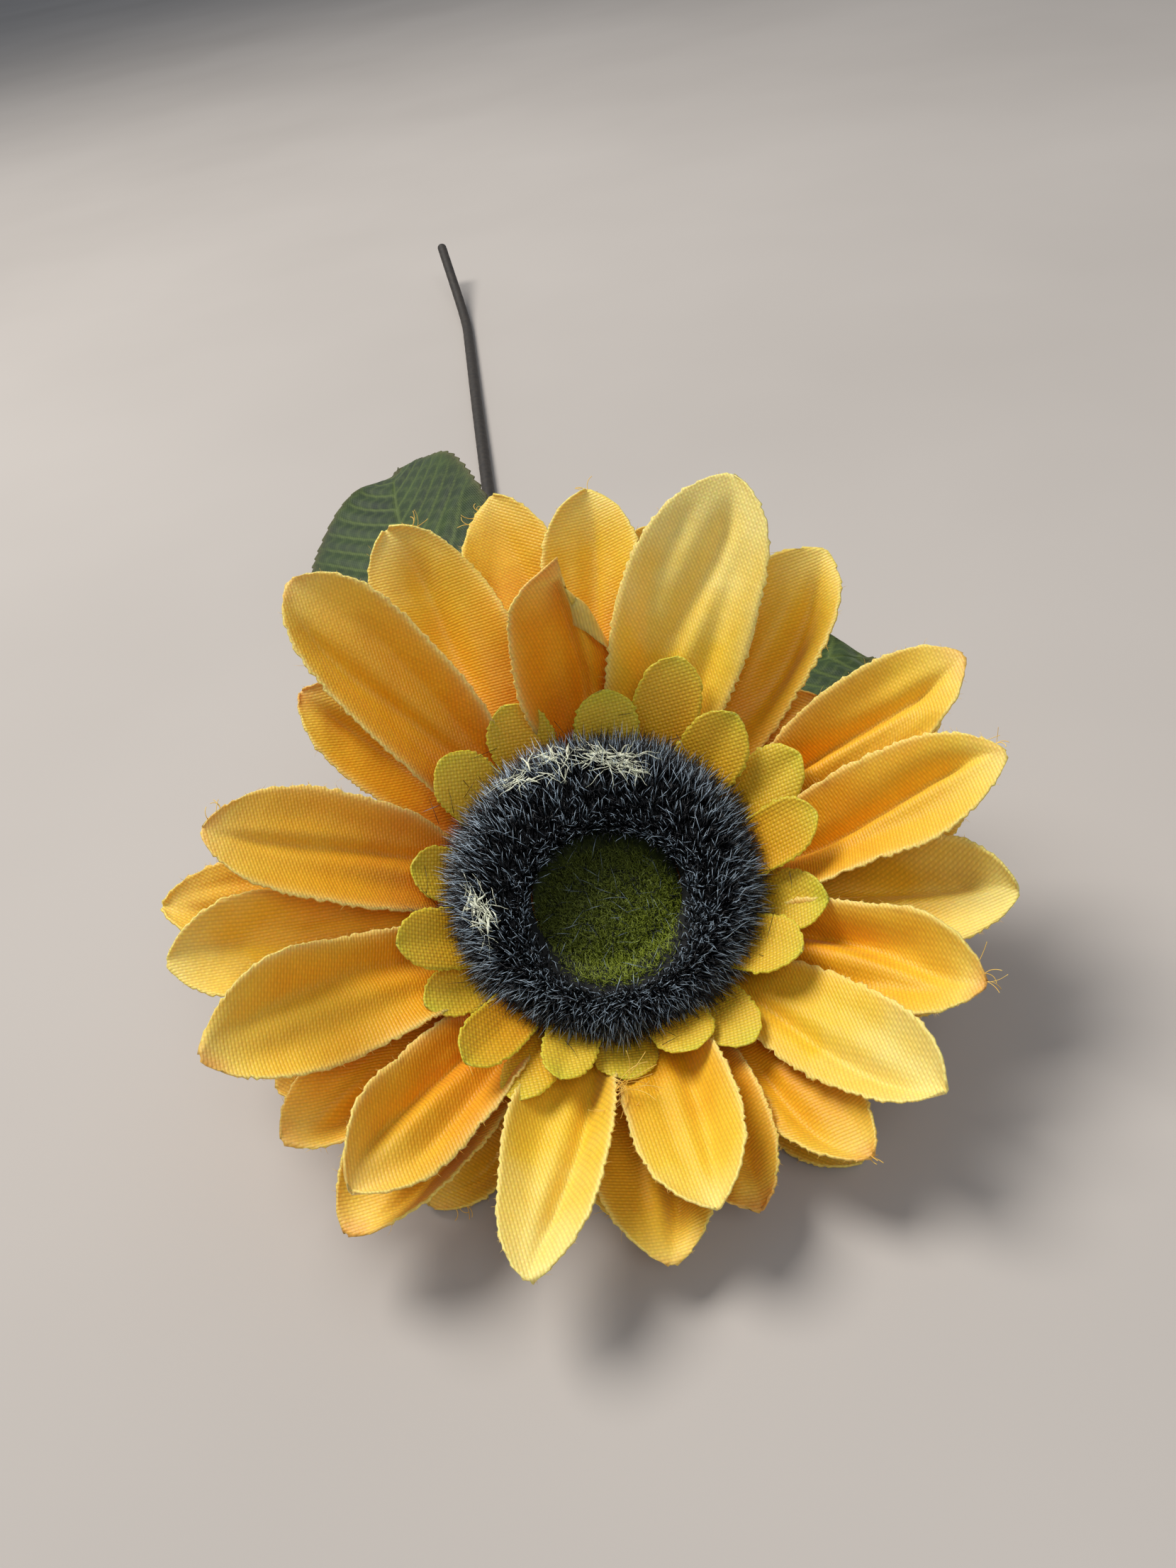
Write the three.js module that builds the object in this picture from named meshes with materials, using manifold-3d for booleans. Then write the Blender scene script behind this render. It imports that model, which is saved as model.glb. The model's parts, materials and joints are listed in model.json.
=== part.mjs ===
// A fabric sunflower on a bendable wire stem, made up as a hair clip.
// Millimetres, +Z up. The flower lies on a table: the stem runs away along +Y, the face looks up
// and towards -Y, and the lowest petals touch the table.
import * as THREE from "three";
import { mergeVertices } from "three/addons/utils/BufferGeometryUtils.js";
import Module from "manifold-3d";

const wasm = await Module();
wasm.setup();

// ---- Driving dimensions ------------------------------------------------------------------------
const HEAD_HEIGHT = 24; // the head's centre above the table
const HEAD_LEAN = 28; // degrees from vertical, towards -Y
const CLOTH = 0.8; // solid thickness of one stiffened cloth layer
const GAP = 0.4; // clear space between pieces that touch
const AXLE_HOLE_R = 2.4; // hole through every cloth layer for the head pin
const HUB_R = 20.3; // flat middle of every petal layer
const PETAL_CUP = 0.12; // how far a petal's edges rise, as a share of its half width
const PETAL_BEND = -14; // degrees a big petal flattens from root to tip

const STEM_R = 2.1;
const STEM_BORE_R = 1.15;
const WIRE_R = 0.75;
const SOCKET_R = 2.55;

const LEAF_CLOTH = 0.7;
const COLLAR_R = 3.5;
const COLLAR_BORE_R = 2.6;
const COLLAR_LENGTH = 8;

// The clip lies across the back of the head: x along the clip, z behind the petals (negative).
const CLIP_Y = 18.5; // the clip's middle line, above the head's axis
const CLIP_WIDTH = 9;
const CLIP_STEEL = 0.8;
const CLIP_BASE_Z = -12.9;
const CLIP_HEEL_X = -22;
const CLIP_TOE_X = 23;
const PIN_X = -8;
const PIN_Z = -17.2;
const PIN_R = 0.8;
const PIN_HOLE_R = 1.1;

// ---- Petals ------------------------------------------------------------------------------------
// Each row is one petal: azimuth on the head, length, width, extra lift, extra bend, sideways sway.
// Azimuth 0 points to +X and 90 to the top of the head. The topDroop lowers the uppermost petals.
const PETAL_LAYERS = {
  petal_layer_front: {
    hub: -6,
    root: 20,
    lift: 35,
    topDroop: 2,
    colour: 0xf5b02a,
    petals: [
      [14, 56, 18, -1, 0, 3],
      [62, 60, 26, 2, 0, -3],
      [86, 48, 21, 20, 54, 0],
      [127, 61, 20, -1, 0, 0],
      [164, 53, 20, 0, 0, 2],
      [197, 57, 19, 0, 0, 2],
      [225, 51, 17, -2, 0, 0],
      [251, 53, 16, -2, 0, 0],
      [277, 45, 17, 0, 0, 0],
      [312, 51.5, 16, -2, 0, 0],
      [328, 50, 17, -2, 0, 0],
      [357, 55, 18, 1, 0, 4],
    ],
  },
  petal_layer_middle: {
    hub: -7.4,
    root: 20,
    lift: 28,
    topDroop: 2,
    colour: 0xf0a51f,
    petals: [
      [14, 48, 16, -2, 0, 0],
      [44, 55, 20, 1, 0, 0],
      [81, 57, 19, 0, 0, 0],
      [111, 60, 21, 1, 0, 0],
      [137, 48, 17, -2, 0, 0],
      [183, 57, 19, 0, 0, 0],
      [212, 51, 17, 0, 0, 0],
      [226, 53, 17, -3, 0, 0],
      [269, 47, 19, -2, 0, 0],
      [283, 44, 16, 0, 0, 0],
      [300, 47, 15, 0, 0, 0],
      [343, 52, 18, 1, 0, 0],
    ],
  },
  petal_layer_back: {
    hub: -8.8,
    root: 20,
    lift: 20,
    topDroop: 3,
    colour: 0xe8991a,
    petals: [
      [0, 45, 17, 0, 0, 0],
      [31, 34, 16, 0, 0, 0],
      [71, 53, 18, 0, 0, 0],
      [95, 62, 20, 0, 0, 0],
      [131, 43, 17, 0, 0, 0],
      [173, 58, 18, 0, 0, 0],
      [203, 46, 17, 0, 0, 0],
      [231, 40, 18, -11, 0, 0],
      [264, 37, 17, -4, 0, 0],
      [301, 42, 17, -9, 0, 0],
      [330, 42, 17, -4, 0, 0],
    ],
  },
};
// Shorter, rounder petals between the fur and the big ones: azimuth, length, width.
const SHORT_PETAL_LAYERS = {
  short_petals_outer: {
    hub: -4.6,
    hubRadius: 19.8,
    root: 19.5,
    lift: 42,
    bend: -10,
    petals: [
      [19, 26, 11.5],
      [59, 28, 12],
      [109, 22, 12],
      [165, 18, 10.5],
      [207, 22, 9.5],
      [240, 27, 9],
      [266, 19, 10.5],
      [299, 23.5, 10.5],
      [340, 24, 11],
    ],
  },
  short_petals_inner: {
    hub: -3.3,
    hubRadius: 18.8,
    root: 18.5,
    lift: 46,
    bend: -10,
    petals: [
      [1, 26, 11],
      [38, 24, 12],
      [78, 21, 11.5],
      [134, 22.5, 12],
      [191, 24.5, 11],
      [227, 28, 9],
      [249, 23, 9.5],
      [286, 20.5, 10.5],
      [324, 24, 11],
    ],
  },
};
const SEPALS = { hub: -10.2, root: 20, lift: 8, bend: -6, petals: [] };
for (let i = 0; i < 10; i++) SEPALS.petals.push([18 + 36 * i, 15, 10]);

// ---- Stem route: straight out of the head, down to the table, then away with a kink at the end --
const HEAD_AXIS = new THREE.Vector3(0, -1, 0)
  .multiplyScalar(Math.sin(THREE.MathUtils.degToRad(HEAD_LEAN)))
  .setZ(Math.cos(THREE.MathUtils.degToRad(HEAD_LEAN)));
const HEAD_CENTRE = new THREE.Vector3(0, 0, HEAD_HEIGHT);
const behindHead = (depth) => HEAD_CENTRE.clone().addScaledVector(HEAD_AXIS, -depth);
const STEM_START = behindHead(13.6);
const NECK_ROUTE = [
  STEM_START,
  behindHead(15.5),
  behindHead(17.4),
  new THREE.Vector3(0, 11.6, 6.1),
  new THREE.Vector3(-0.2, 16, 3.9),
  new THREE.Vector3(-0.6, 22, 3.5),
  new THREE.Vector3(-1.2, 30, 3.6),
];
const STEM_ROUTE = [
  new THREE.Vector3(-1.1, 28.5, 3.6),
  new THREE.Vector3(-3, 47, 3.6),
  new THREE.Vector3(-5, 66, 3.6),
  new THREE.Vector3(-7, 85, 3.6),
  new THREE.Vector3(-9, 104, 3.6),
  new THREE.Vector3(-11, 123, 3.5),
  new THREE.Vector3(-12, 142, 2.9),
  new THREE.Vector3(-12.5, 170, 2.2),
  new THREE.Vector3(-12.6, 209, 2.1),
  new THREE.Vector3(-12.4, 300, 2.1),
  new THREE.Vector3(-12.1, 355, 2.1),
  new THREE.Vector3(-12.1, 378, 2.3),
  new THREE.Vector3(-12.8, 394, 3.9),
  new THREE.Vector3(-17.6, 454, 16.8),
];
const STEM_RUN = new THREE.Vector3(-2, 19, 0).normalize(); // the stem's direction under both collars

// Each leaf: its collar's place on the stem, the way its stalk points, then in the stalk's frame
// (x outwards, y to its left, z up) the elbow and tip of its midline, and its blade.
const LEAVES = {
  left: {
    collar: new THREE.Vector3(-9, 104, 3.6),
    azimuth: 134,
    elbow: new THREE.Vector3(44, 3, 9),
    tip: new THREE.Vector3(103, -56, 11),
    stalk: 0.17,
    width: 58,
    rightFold: 38,
    leftFold: -3,
  },
  right: {
    collar: new THREE.Vector3(-5, 66, 3.6),
    azimuth: 11,
    elbow: new THREE.Vector3(40, 3, 3),
    tip: new THREE.Vector3(80, 0, 0),
    stalk: 0.17,
    width: 46,
    rightFold: 6,
    leftFold: 8,
  },
};

// ---- Solids ------------------------------------------------------------------------------------
const rad = THREE.MathUtils.degToRad;

function toSolid(geometry) {
  const bare = geometry.index ? geometry.toNonIndexed() : geometry.clone();
  bare.deleteAttribute("normal");
  bare.deleteAttribute("uv");
  const merged = mergeVertices(bare, 1e-4);
  return new wasm.Manifold(
    new wasm.Mesh({
      numProp: 3,
      vertProperties: merged.attributes.position.array,
      triVerts: new Uint32Array(merged.index.array),
    }),
  );
}

function toGeometry(solid) {
  const mesh = solid.getMesh();
  const geometry = new THREE.BufferGeometry();
  geometry.setAttribute("position", new THREE.BufferAttribute(mesh.vertProperties, 3));
  geometry.setIndex(new THREE.BufferAttribute(mesh.triVerts, 1));
  geometry.computeVertexNormals();
  return geometry;
}

const join = (first, ...others) => others.reduce((all, next) => all.add(next), first);

// A solid of revolution about Z from [radius, z] corners, listed anticlockwise.
function lathe(profile, segments = 24) {
  const points = [...profile, profile[0]].map(([r, z]) => new THREE.Vector2(r, z));
  return toSolid(new THREE.LatheGeometry(points, segments).rotateX(Math.PI / 2));
}

// A cylinder along a line from start to end.
function rod(start, end, radius, sides = 12) {
  const along = end.clone().sub(start);
  const geometry = new THREE.CylinderGeometry(radius, radius, along.length(), sides);
  geometry.applyQuaternion(
    new THREE.Quaternion().setFromUnitVectors(new THREE.Vector3(0, 1, 0), along.normalize()),
  );
  const middle = start.clone().add(end).multiplyScalar(0.5);
  return toSolid(geometry.translate(middle.x, middle.y, middle.z));
}

function block(x, y, z) {
  const geometry = new THREE.BoxGeometry(x[1] - x[0], y[1] - y[0], z[1] - z[0]);
  return toSolid(
    geometry.translate((x[0] + x[1]) / 2, (y[0] + y[1]) / 2, (z[0] + z[1]) / 2),
  );
}

// A round bar along a smooth route.
function bar(route, radius, sides, steps) {
  const section = new THREE.Shape();
  for (let i = 0; i < sides; i++) {
    const a = (2 * Math.PI * i) / sides;
    const point = [radius * Math.cos(a), radius * Math.sin(a)];
    if (i) section.lineTo(...point);
    else section.moveTo(...point);
  }
  const extrudePath = new THREE.CatmullRomCurve3(route, false, "centripetal");
  return toSolid(new THREE.ExtrudeGeometry(section, { steps, extrudePath, bevelEnabled: false }));
}

// A closed sheet: its middle surface is place(i, j) for i in 0..rows and j in 0..columns.
function sheet(place, rows, columns, thickness) {
  const middle = [];
  for (let i = 0; i <= rows; i++) {
    for (let j = 0; j <= columns; j++) middle.push(place(i, j));
  }
  const width = columns + 1;
  const at = (i, j) => middle[i * width + j];
  const corners = [];
  for (let i = 0; i <= rows; i++) {
    for (let j = 0; j <= columns; j++) {
      const along = at(Math.min(i + 1, rows), j).clone().sub(at(Math.max(i - 1, 0), j));
      const across = at(i, Math.min(j + 1, columns)).clone().sub(at(i, Math.max(j - 1, 0)));
      const normal = along.cross(across).normalize().multiplyScalar(thickness / 2);
      corners.push(at(i, j).clone().add(normal), at(i, j).clone().sub(normal));
    }
  }
  const top = (i, j) => 2 * (i * width + j);
  const under = (i, j) => top(i, j) + 1;
  const faces = [];
  const quad = (a, b, c, d) => faces.push(a, b, c, a, c, d);
  for (let i = 0; i < rows; i++) {
    for (let j = 0; j < columns; j++) {
      quad(top(i, j), top(i + 1, j), top(i + 1, j + 1), top(i, j + 1));
      quad(under(i, j), under(i, j + 1), under(i + 1, j + 1), under(i + 1, j));
    }
    quad(under(i, 0), under(i + 1, 0), top(i + 1, 0), top(i, 0));
    quad(under(i, columns), top(i, columns), top(i + 1, columns), under(i + 1, columns));
  }
  for (let j = 0; j < columns; j++) {
    quad(under(0, j), top(0, j), top(0, j + 1), under(0, j + 1));
    quad(under(rows, j), under(rows, j + 1), top(rows, j + 1), top(rows, j));
  }
  const geometry = new THREE.BufferGeometry().setFromPoints(corners).setIndex(faces);
  return toSolid(geometry);
}

// ---- Petals ------------------------------------------------------------------------------------
// Half width of a petal along its length, as a share of the widest: narrow root, rounded point.
function petalProfile(s) {
  const root = 0.34;
  const widest = 0.56;
  if (s < widest) return root + (1 - root) * Math.sin((Math.PI / 2) * (s / widest)) ** 1.2;
  const x = (s - widest) / (1 - widest);
  return Math.max(0.06, Math.cos((Math.PI / 2) * x ** 1.7) ** 0.65);
}

// One petal in the head's frame. It leaves the flat hub at the root radius and arcs upwards.
function petal(shape, rows, columns) {
  const { hub, root, azimuth, length, width, lift, bend, sway } = shape;
  const start = rad(lift - bend / 2);
  const turn = rad(bend);
  const tongue = 2.5; // the strip inside the hub
  const out = new THREE.Vector3(Math.cos(rad(azimuth)), Math.sin(rad(azimuth)), 0);
  const side = new THREE.Vector3(-out.y, out.x, 0);
  const place = (i, j) => {
    const s = Math.max(0, (i - 1) / (rows - 1));
    const angle = start + turn * s;
    const half = (width / 2) * petalProfile(s);
    const u = (2 * j) / columns - 1;
    const rise = PETAL_CUP * half * u * u * Math.min(1, 3 * s);
    const radius = i
      ? root + (length * (Math.sin(angle) - Math.sin(start))) / turn
      : root - tongue;
    const height = hub + (length * (Math.cos(start) - Math.cos(angle))) / turn;
    return new THREE.Vector3()
      .addScaledVector(out, radius - rise * Math.sin(angle))
      .addScaledVector(side, u * half + sway * s * s)
      .setZ(height + rise * Math.cos(angle));
  };
  return sheet(place, rows, columns, CLOTH);
}

function hubDisc(z, radius) {
  return lathe([
    [AXLE_HOLE_R, z - CLOTH / 2],
    [radius, z - CLOTH / 2],
    [radius, z + CLOTH / 2],
    [AXLE_HOLE_R, z + CLOTH / 2],
  ]);
}

function petalLayer(layer, rows, topDroop = 0) {
  const { hub, root, lift, bend = PETAL_BEND, hubRadius = HUB_R, petals } = layer;
  const cut = petals.map(([azimuth, length, width, extraLift = 0, extraBend = 0, sway = 0]) => {
    const shape = { hub, root, azimuth, length, width, sway };
    shape.lift = lift + extraLift - topDroop * Math.sin(rad(azimuth));
    shape.bend = bend + extraBend;
    return petal(shape, rows, 2);
  });
  return join(hubDisc(hub, hubRadius), ...cut);
}

// ---- Middle of the flower ----------------------------------------------------------------------
// The plush ring. Its hollow is round at the button, and off centre towards the bottom above it.
const HOLLOW_SHIFT = 5;

function furRing() {
  const ring = lathe(
    [
      [13.4, -2.4],
      [17.6, -2.4],
      [21.4, 1.5],
      [23.6, 4.8],
      [22.8, 8],
      [19.5, 9.6],
      [15.6, 8],
      [13.6, 4.5],
      [13.4, 1.5],
    ],
    32,
  );
  return ring.warp((point) => {
    const inner = THREE.MathUtils.clamp((22.8 - Math.hypot(point[0], point[1])) / 8, 0, 1);
    const above = THREE.MathUtils.clamp((point[2] - 1.5) / 3, 0, 1);
    point[1] -= HOLLOW_SHIFT * inner * above;
  });
}

// The green middle: a flocked button in the ring's hollow.
function flockButton() {
  return lathe([
    [0, -1.9],
    [12.9, -1.9],
    [12.9, -0.6],
    [9, 0.5],
    [0, 1.1],
  ]);
}

// The peg that strings the cloth layers together: a wide head in front, a shank in the calyx.
function headPin() {
  return lathe(
    [
      [0, -12.4],
      [1.95, -12.4],
      [1.95, -2.8],
      [5, -2.8],
      [5, -2.3],
      [0, -2.3],
    ],
    16,
  );
}

function calyxCup() {
  return lathe([
    [AXLE_HOLE_R, -13],
    [SOCKET_R, -13.2],
    [SOCKET_R, -16.9],
    [4.4, -16.9],
    [6.6, -14.4],
    [10, -12],
    [10, -11],
    [AXLE_HOLE_R, -11],
  ]);
}

// ---- Hair clip ---------------------------------------------------------------------------------
const FELT_Z = [-12.1, -11];
const FELT_R = 26;
const FELT_SHIFT = 6;
const CLIP_EDGES = [CLIP_Y - CLIP_WIDTH / 2, CLIP_Y + CLIP_WIDTH / 2];

function feltPad() {
  const disc = new THREE.CylinderGeometry(FELT_R, FELT_R, FELT_Z[1] - FELT_Z[0], 40);
  disc.rotateX(Math.PI / 2).translate(0, FELT_SHIFT, (FELT_Z[0] + FELT_Z[1]) / 2);
  const collar = rod(new THREE.Vector3(0, 0, -15), new THREE.Vector3(0, 0, -9), 10.5, 24);
  return toSolid(disc).subtract(collar);
}

// A metal strip of even thickness along [x, z] corners, between two edges in y.
function strip(route, edges) {
  const points = route.map(([x, z]) => new THREE.Vector2(x, z));
  const side = (sign) =>
    points.map((point, i) => {
      const before = points[Math.max(i - 1, 0)];
      const after = points[Math.min(i + 1, points.length - 1)];
      const into = point.clone().sub(before).normalize();
      const away = after.clone().sub(point).normalize();
      const mean = into.add(away).normalize();
      const lean = i && i < points.length - 1 ? Math.max(0.6, mean.dot(away)) : 1;
      const half = (sign * CLIP_STEEL) / 2 / lean;
      return new THREE.Vector2(point.x - mean.y * half, point.y + mean.x * half);
    });
  const outline = new THREE.Shape([...side(1), ...side(-1).reverse()]);
  const depth = edges[1] - edges[0];
  const solid = new THREE.ExtrudeGeometry(outline, { depth, bevelEnabled: false });
  return toSolid(solid.rotateX(Math.PI / 2).translate(0, edges[1], 0));
}

// A pair of ears with a round end about the pin, standing on a strip at z = foot.
function ears(edges, foot, reach) {
  const sides = [
    [edges[0], edges[0] + CLIP_STEEL],
    [edges[1] - CLIP_STEEL, edges[1]],
  ];
  return sides.map(([low, high]) => {
    const plate = block([PIN_X - reach, PIN_X + reach], [low, high], [
      Math.min(foot, PIN_Z),
      Math.max(foot, PIN_Z),
    ]);
    const end = rod(
      new THREE.Vector3(PIN_X, low, PIN_Z),
      new THREE.Vector3(PIN_X, high, PIN_Z),
      reach,
      16,
    );
    return plate.add(end);
  });
}

const pinHole = () =>
  rod(
    new THREE.Vector3(PIN_X, CLIP_EDGES[0] - 2, PIN_Z),
    new THREE.Vector3(PIN_X, CLIP_EDGES[1] + 2, PIN_Z),
    PIN_HOLE_R,
    16,
  );

function clipBase() {
  const plate = strip(
    [
      [CLIP_HEEL_X, CLIP_BASE_Z],
      [CLIP_TOE_X, CLIP_BASE_Z],
    ],
    CLIP_EDGES,
  );
  return join(plate, ...ears(CLIP_EDGES, CLIP_BASE_Z, 2.2)).subtract(pinHole());
}

function clipLever() {
  const inside = [CLIP_EDGES[0] + CLIP_STEEL + GAP, CLIP_EDGES[1] - CLIP_STEEL - GAP];
  const arm = strip(
    [
      [CLIP_TOE_X + 0.9, CLIP_BASE_Z + 0.6],
      [CLIP_TOE_X + 0.9, CLIP_BASE_Z - 2.2],
      [1.5, CLIP_BASE_Z - 2.2],
      [-3, PIN_Z - 2.4],
      [PIN_X, PIN_Z - 3.4],
      [PIN_X - 5, PIN_Z - 4],
      [CLIP_HEEL_X, PIN_Z - 7.4],
    ],
    inside,
  );
  return join(arm, ...ears(inside, PIN_Z - 3.4, 1.9)).subtract(pinHole());
}

function clipPin() {
  return rod(
    new THREE.Vector3(PIN_X, CLIP_EDGES[0] - 0.6, PIN_Z),
    new THREE.Vector3(PIN_X, CLIP_EDGES[1] + 0.6, PIN_Z),
    PIN_R,
    12,
  );
}

// Torsion spring: coils about the pin, one leg on the base plate and one on the lever's tab.
function clipSpring() {
  const coil = 1.55;
  const turns = 3.5;
  const route = [new THREE.Vector3(PIN_X - 8.5, CLIP_Y - 1.9, CLIP_BASE_Z - 1.1)];
  const steps = Math.round(turns * 10);
  for (let i = 0; i <= steps; i++) {
    const a = Math.PI / 2 - (2 * Math.PI * turns * i) / steps;
    const y = CLIP_Y - 1.7 + (3.4 * i) / steps;
    route.push(
      new THREE.Vector3(PIN_X + coil * Math.cos(a), y, PIN_Z + coil * Math.sin(a)),
    );
  }
  route.push(new THREE.Vector3(PIN_X - 7.5, CLIP_Y + 1.9, PIN_Z - 3.5));
  return bar(route, 0.3, 5, 52);
}

function gripStrip() {
  const top = CLIP_BASE_Z - CLIP_STEEL / 2 - 0.3;
  return block([2, CLIP_TOE_X - 1.5], [CLIP_EDGES[0] + 1.5, CLIP_EDGES[1] - 1.5], [top - 0.6, top]);
}

// ---- Stem and leaves ---------------------------------------------------------------------------
function stemBar(radius, sides) {
  return bar(NECK_ROUTE, radius, sides, 14).add(bar(STEM_ROUTE, radius, sides, 40));
}

function stemSleeve() {
  const [first, second] = NECK_ROUTE;
  const [beforeLast, last] = STEM_ROUTE.slice(-2);
  const bore = stemBar(STEM_BORE_R, 6)
    .add(rod(second.clone().lerp(first, 2), second, STEM_BORE_R, 6))
    .add(rod(last.clone().lerp(beforeLast, 0.05), last.clone().lerp(beforeLast, -0.05), STEM_BORE_R, 6));
  return stemBar(STEM_R, 8).subtract(bore);
}

function leafFrame({ azimuth, collar }) {
  const group = new THREE.Group();
  group.position.copy(collar);
  group.rotation.z = rad(azimuth);
  return group;
}

const BLADE_LIFT = 1.6; // the blade lies this far above its rib
const UP = new THREE.Vector3(0, 0, 1);

function leafLine({ elbow, tip }) {
  return new THREE.QuadraticBezierCurve3(new THREE.Vector3(), elbow, tip);
}

function leafBlade(leaf) {
  const rows = 9;
  const columns = 4;
  const line = leafLine(leaf);
  const place = (i, j) => {
    const s = i / rows;
    const u = (2 * j) / columns - 1;
    const share = leaf.stalk + (1 - leaf.stalk) * s;
    const side = new THREE.Vector3().crossVectors(UP, line.getTangentAt(share)).normalize();
    const half = Math.max(1.2, (leaf.width / 2) * Math.sin(Math.PI * s ** 0.8) ** 0.85);
    const fold = rad(u < 0 ? leaf.rightFold : leaf.leftFold) * Math.min(1, 2.5 * s);
    const reach = Math.abs(u) * half;
    return line
      .getPointAt(share)
      .addScaledVector(side, Math.sign(u) * reach * Math.cos(fold))
      .addScaledVector(UP, BLADE_LIFT + reach * Math.sin(fold));
  };
  return sheet(place, rows, columns, LEAF_CLOTH);
}

function leafRib(leaf) {
  const line = leafLine(leaf);
  const route = [];
  const start = 8.2 / line.getLength();
  for (let i = 0; i <= 9; i++) route.push(line.getPointAt(start + ((0.88 - start) * i) / 9));
  return bar(route, 0.8, 6, 16);
}

// The ring on the stem, with a socket for the rib.
function leafCollar(leaf) {
  const half = STEM_RUN.clone().multiplyScalar(COLLAR_LENGTH / 2);
  const beyond = STEM_RUN.clone().multiplyScalar(3 * COLLAR_LENGTH);
  const at = leaf.collar;
  const frame = leafFrame(leaf);
  frame.updateMatrix();
  const line = leafLine(leaf);
  const along = (reach) => line.getPointAt(reach / line.getLength()).applyMatrix4(frame.matrix);
  const ring = rod(at.clone().sub(half), at.clone().add(half), COLLAR_R, 32);
  return ring
    .add(rod(along(2), along(11), 1.9, 24))
    .subtract(rod(at.clone().sub(beyond), at.clone().add(beyond), COLLAR_BORE_R, 24))
    .subtract(rod(along(7.6), along(12), 1.25, 16));
}

// ---- Assembly ----------------------------------------------------------------------------------
function material(color, roughness, metalness = 0) {
  return new THREE.MeshStandardMaterial({ color, roughness, metalness });
}

function piece(name, solid, finish) {
  const mesh = new THREE.Mesh(toGeometry(solid), finish);
  mesh.name = name;
  return mesh;
}

const head = new THREE.Group();
head.position.copy(HEAD_CENTRE);
head.rotation.x = rad(HEAD_LEAN);
for (const [name, layer] of Object.entries(PETAL_LAYERS)) {
  head.add(piece(name, petalLayer(layer, 6, layer.topDroop), material(layer.colour, 0.6)));
}
for (const [name, layer] of Object.entries(SHORT_PETAL_LAYERS)) {
  head.add(piece(name, petalLayer(layer, 4), material(0xc9992a, 0.7)));
}
head.add(
  piece("sepal_layer", petalLayer(SEPALS, 4), material(0x3c4a1d, 0.8)),
  piece("fur_ring", furRing(), material(0x16171c, 0.8)),
  piece("flock_button", flockButton(), material(0x4a4f1a, 0.95)),
  piece("head_pin", headPin(), material(0x2f3a1a, 0.5)),
  piece("calyx_cup", calyxCup(), material(0x33401c, 0.5)),
  piece("felt_pad", feltPad(), material(0x2c3320, 0.95)),
  piece("clip_base", clipBase(), material(0xb9bbbe, 0.3, 1)),
  piece("clip_lever", clipLever(), material(0xb9bbbe, 0.3, 1)),
  piece("clip_pin", clipPin(), material(0x9fa2a6, 0.35, 1)),
  piece("clip_spring", clipSpring(), material(0x8b8e93, 0.35, 1)),
  piece("clip_grip_strip", gripStrip(), material(0xd9d6cf, 0.7)),
);

const model = new THREE.Group();
model.add(head);
model.add(
  piece("stem_sleeve", stemSleeve(), material(0x1f1c17, 0.55)),
  piece("stem_wire", stemBar(WIRE_R, 6), material(0x77716a, 0.45, 1)),
);
for (const [side, leaf] of Object.entries(LEAVES)) {
  const frame = leafFrame(leaf);
  frame.add(
    piece("leaf_blade_" + side, leafBlade(leaf), material(0x2f3f1f, 0.75)),
    piece("leaf_rib_" + side, leafRib(leaf), material(0x36401f, 0.6)),
  );
  model.add(frame);
  model.add(piece("leaf_collar_" + side, leafCollar(leaf), material(0x2a331b, 0.6)));
}

// The origin is the middle of the outer box, on the table.
model.updateMatrixWorld(true);
const box = new THREE.Box3().setFromObject(model, true);
model.position.set(-(box.min.x + box.max.x) / 2, -(box.min.y + box.max.y) / 2, -box.min.z);

const flower = new THREE.Group();
flower.add(model);
export default flower;
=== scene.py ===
"""Looks for a fabric sunflower on a wire stem, made up as a hair clip.

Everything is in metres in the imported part's frame. Shapes are worked out in millimetres, in the
head's own frame (x sideways, y up the face, z out of the face) or on the table, then placed.
"""

import json
import math

import bpy
import numpy as np
from mathutils import Matrix, Vector


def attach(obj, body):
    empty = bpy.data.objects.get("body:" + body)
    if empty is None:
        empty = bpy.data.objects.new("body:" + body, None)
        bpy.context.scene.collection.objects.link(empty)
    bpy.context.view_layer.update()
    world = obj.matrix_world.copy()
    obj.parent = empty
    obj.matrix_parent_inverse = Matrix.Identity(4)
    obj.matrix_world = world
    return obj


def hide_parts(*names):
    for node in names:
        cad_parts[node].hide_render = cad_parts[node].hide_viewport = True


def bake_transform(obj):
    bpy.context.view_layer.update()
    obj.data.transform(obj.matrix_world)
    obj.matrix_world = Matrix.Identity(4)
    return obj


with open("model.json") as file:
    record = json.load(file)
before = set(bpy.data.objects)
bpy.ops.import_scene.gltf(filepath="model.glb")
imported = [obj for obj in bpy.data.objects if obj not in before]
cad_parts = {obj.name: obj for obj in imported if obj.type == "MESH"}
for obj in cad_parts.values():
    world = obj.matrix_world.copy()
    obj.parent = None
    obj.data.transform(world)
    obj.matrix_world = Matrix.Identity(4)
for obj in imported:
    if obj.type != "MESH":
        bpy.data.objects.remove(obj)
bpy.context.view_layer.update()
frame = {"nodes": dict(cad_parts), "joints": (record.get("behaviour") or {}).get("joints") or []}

MM = 0.001
rng = np.random.default_rng(20)


# ---- Places
def joint_place(name):
    return np.array(next(j for j in frame["joints"] if j["name"] == name)["pos_m"])


LEFT_COLLAR = np.array([-9.0, 104.0, 3.6])
RIGHT_COLLAR = np.array([-5.0, 66.0, 3.6])
TABLE_ORIGIN = joint_place("leaf_left_turn") - LEFT_COLLAR * MM

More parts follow.
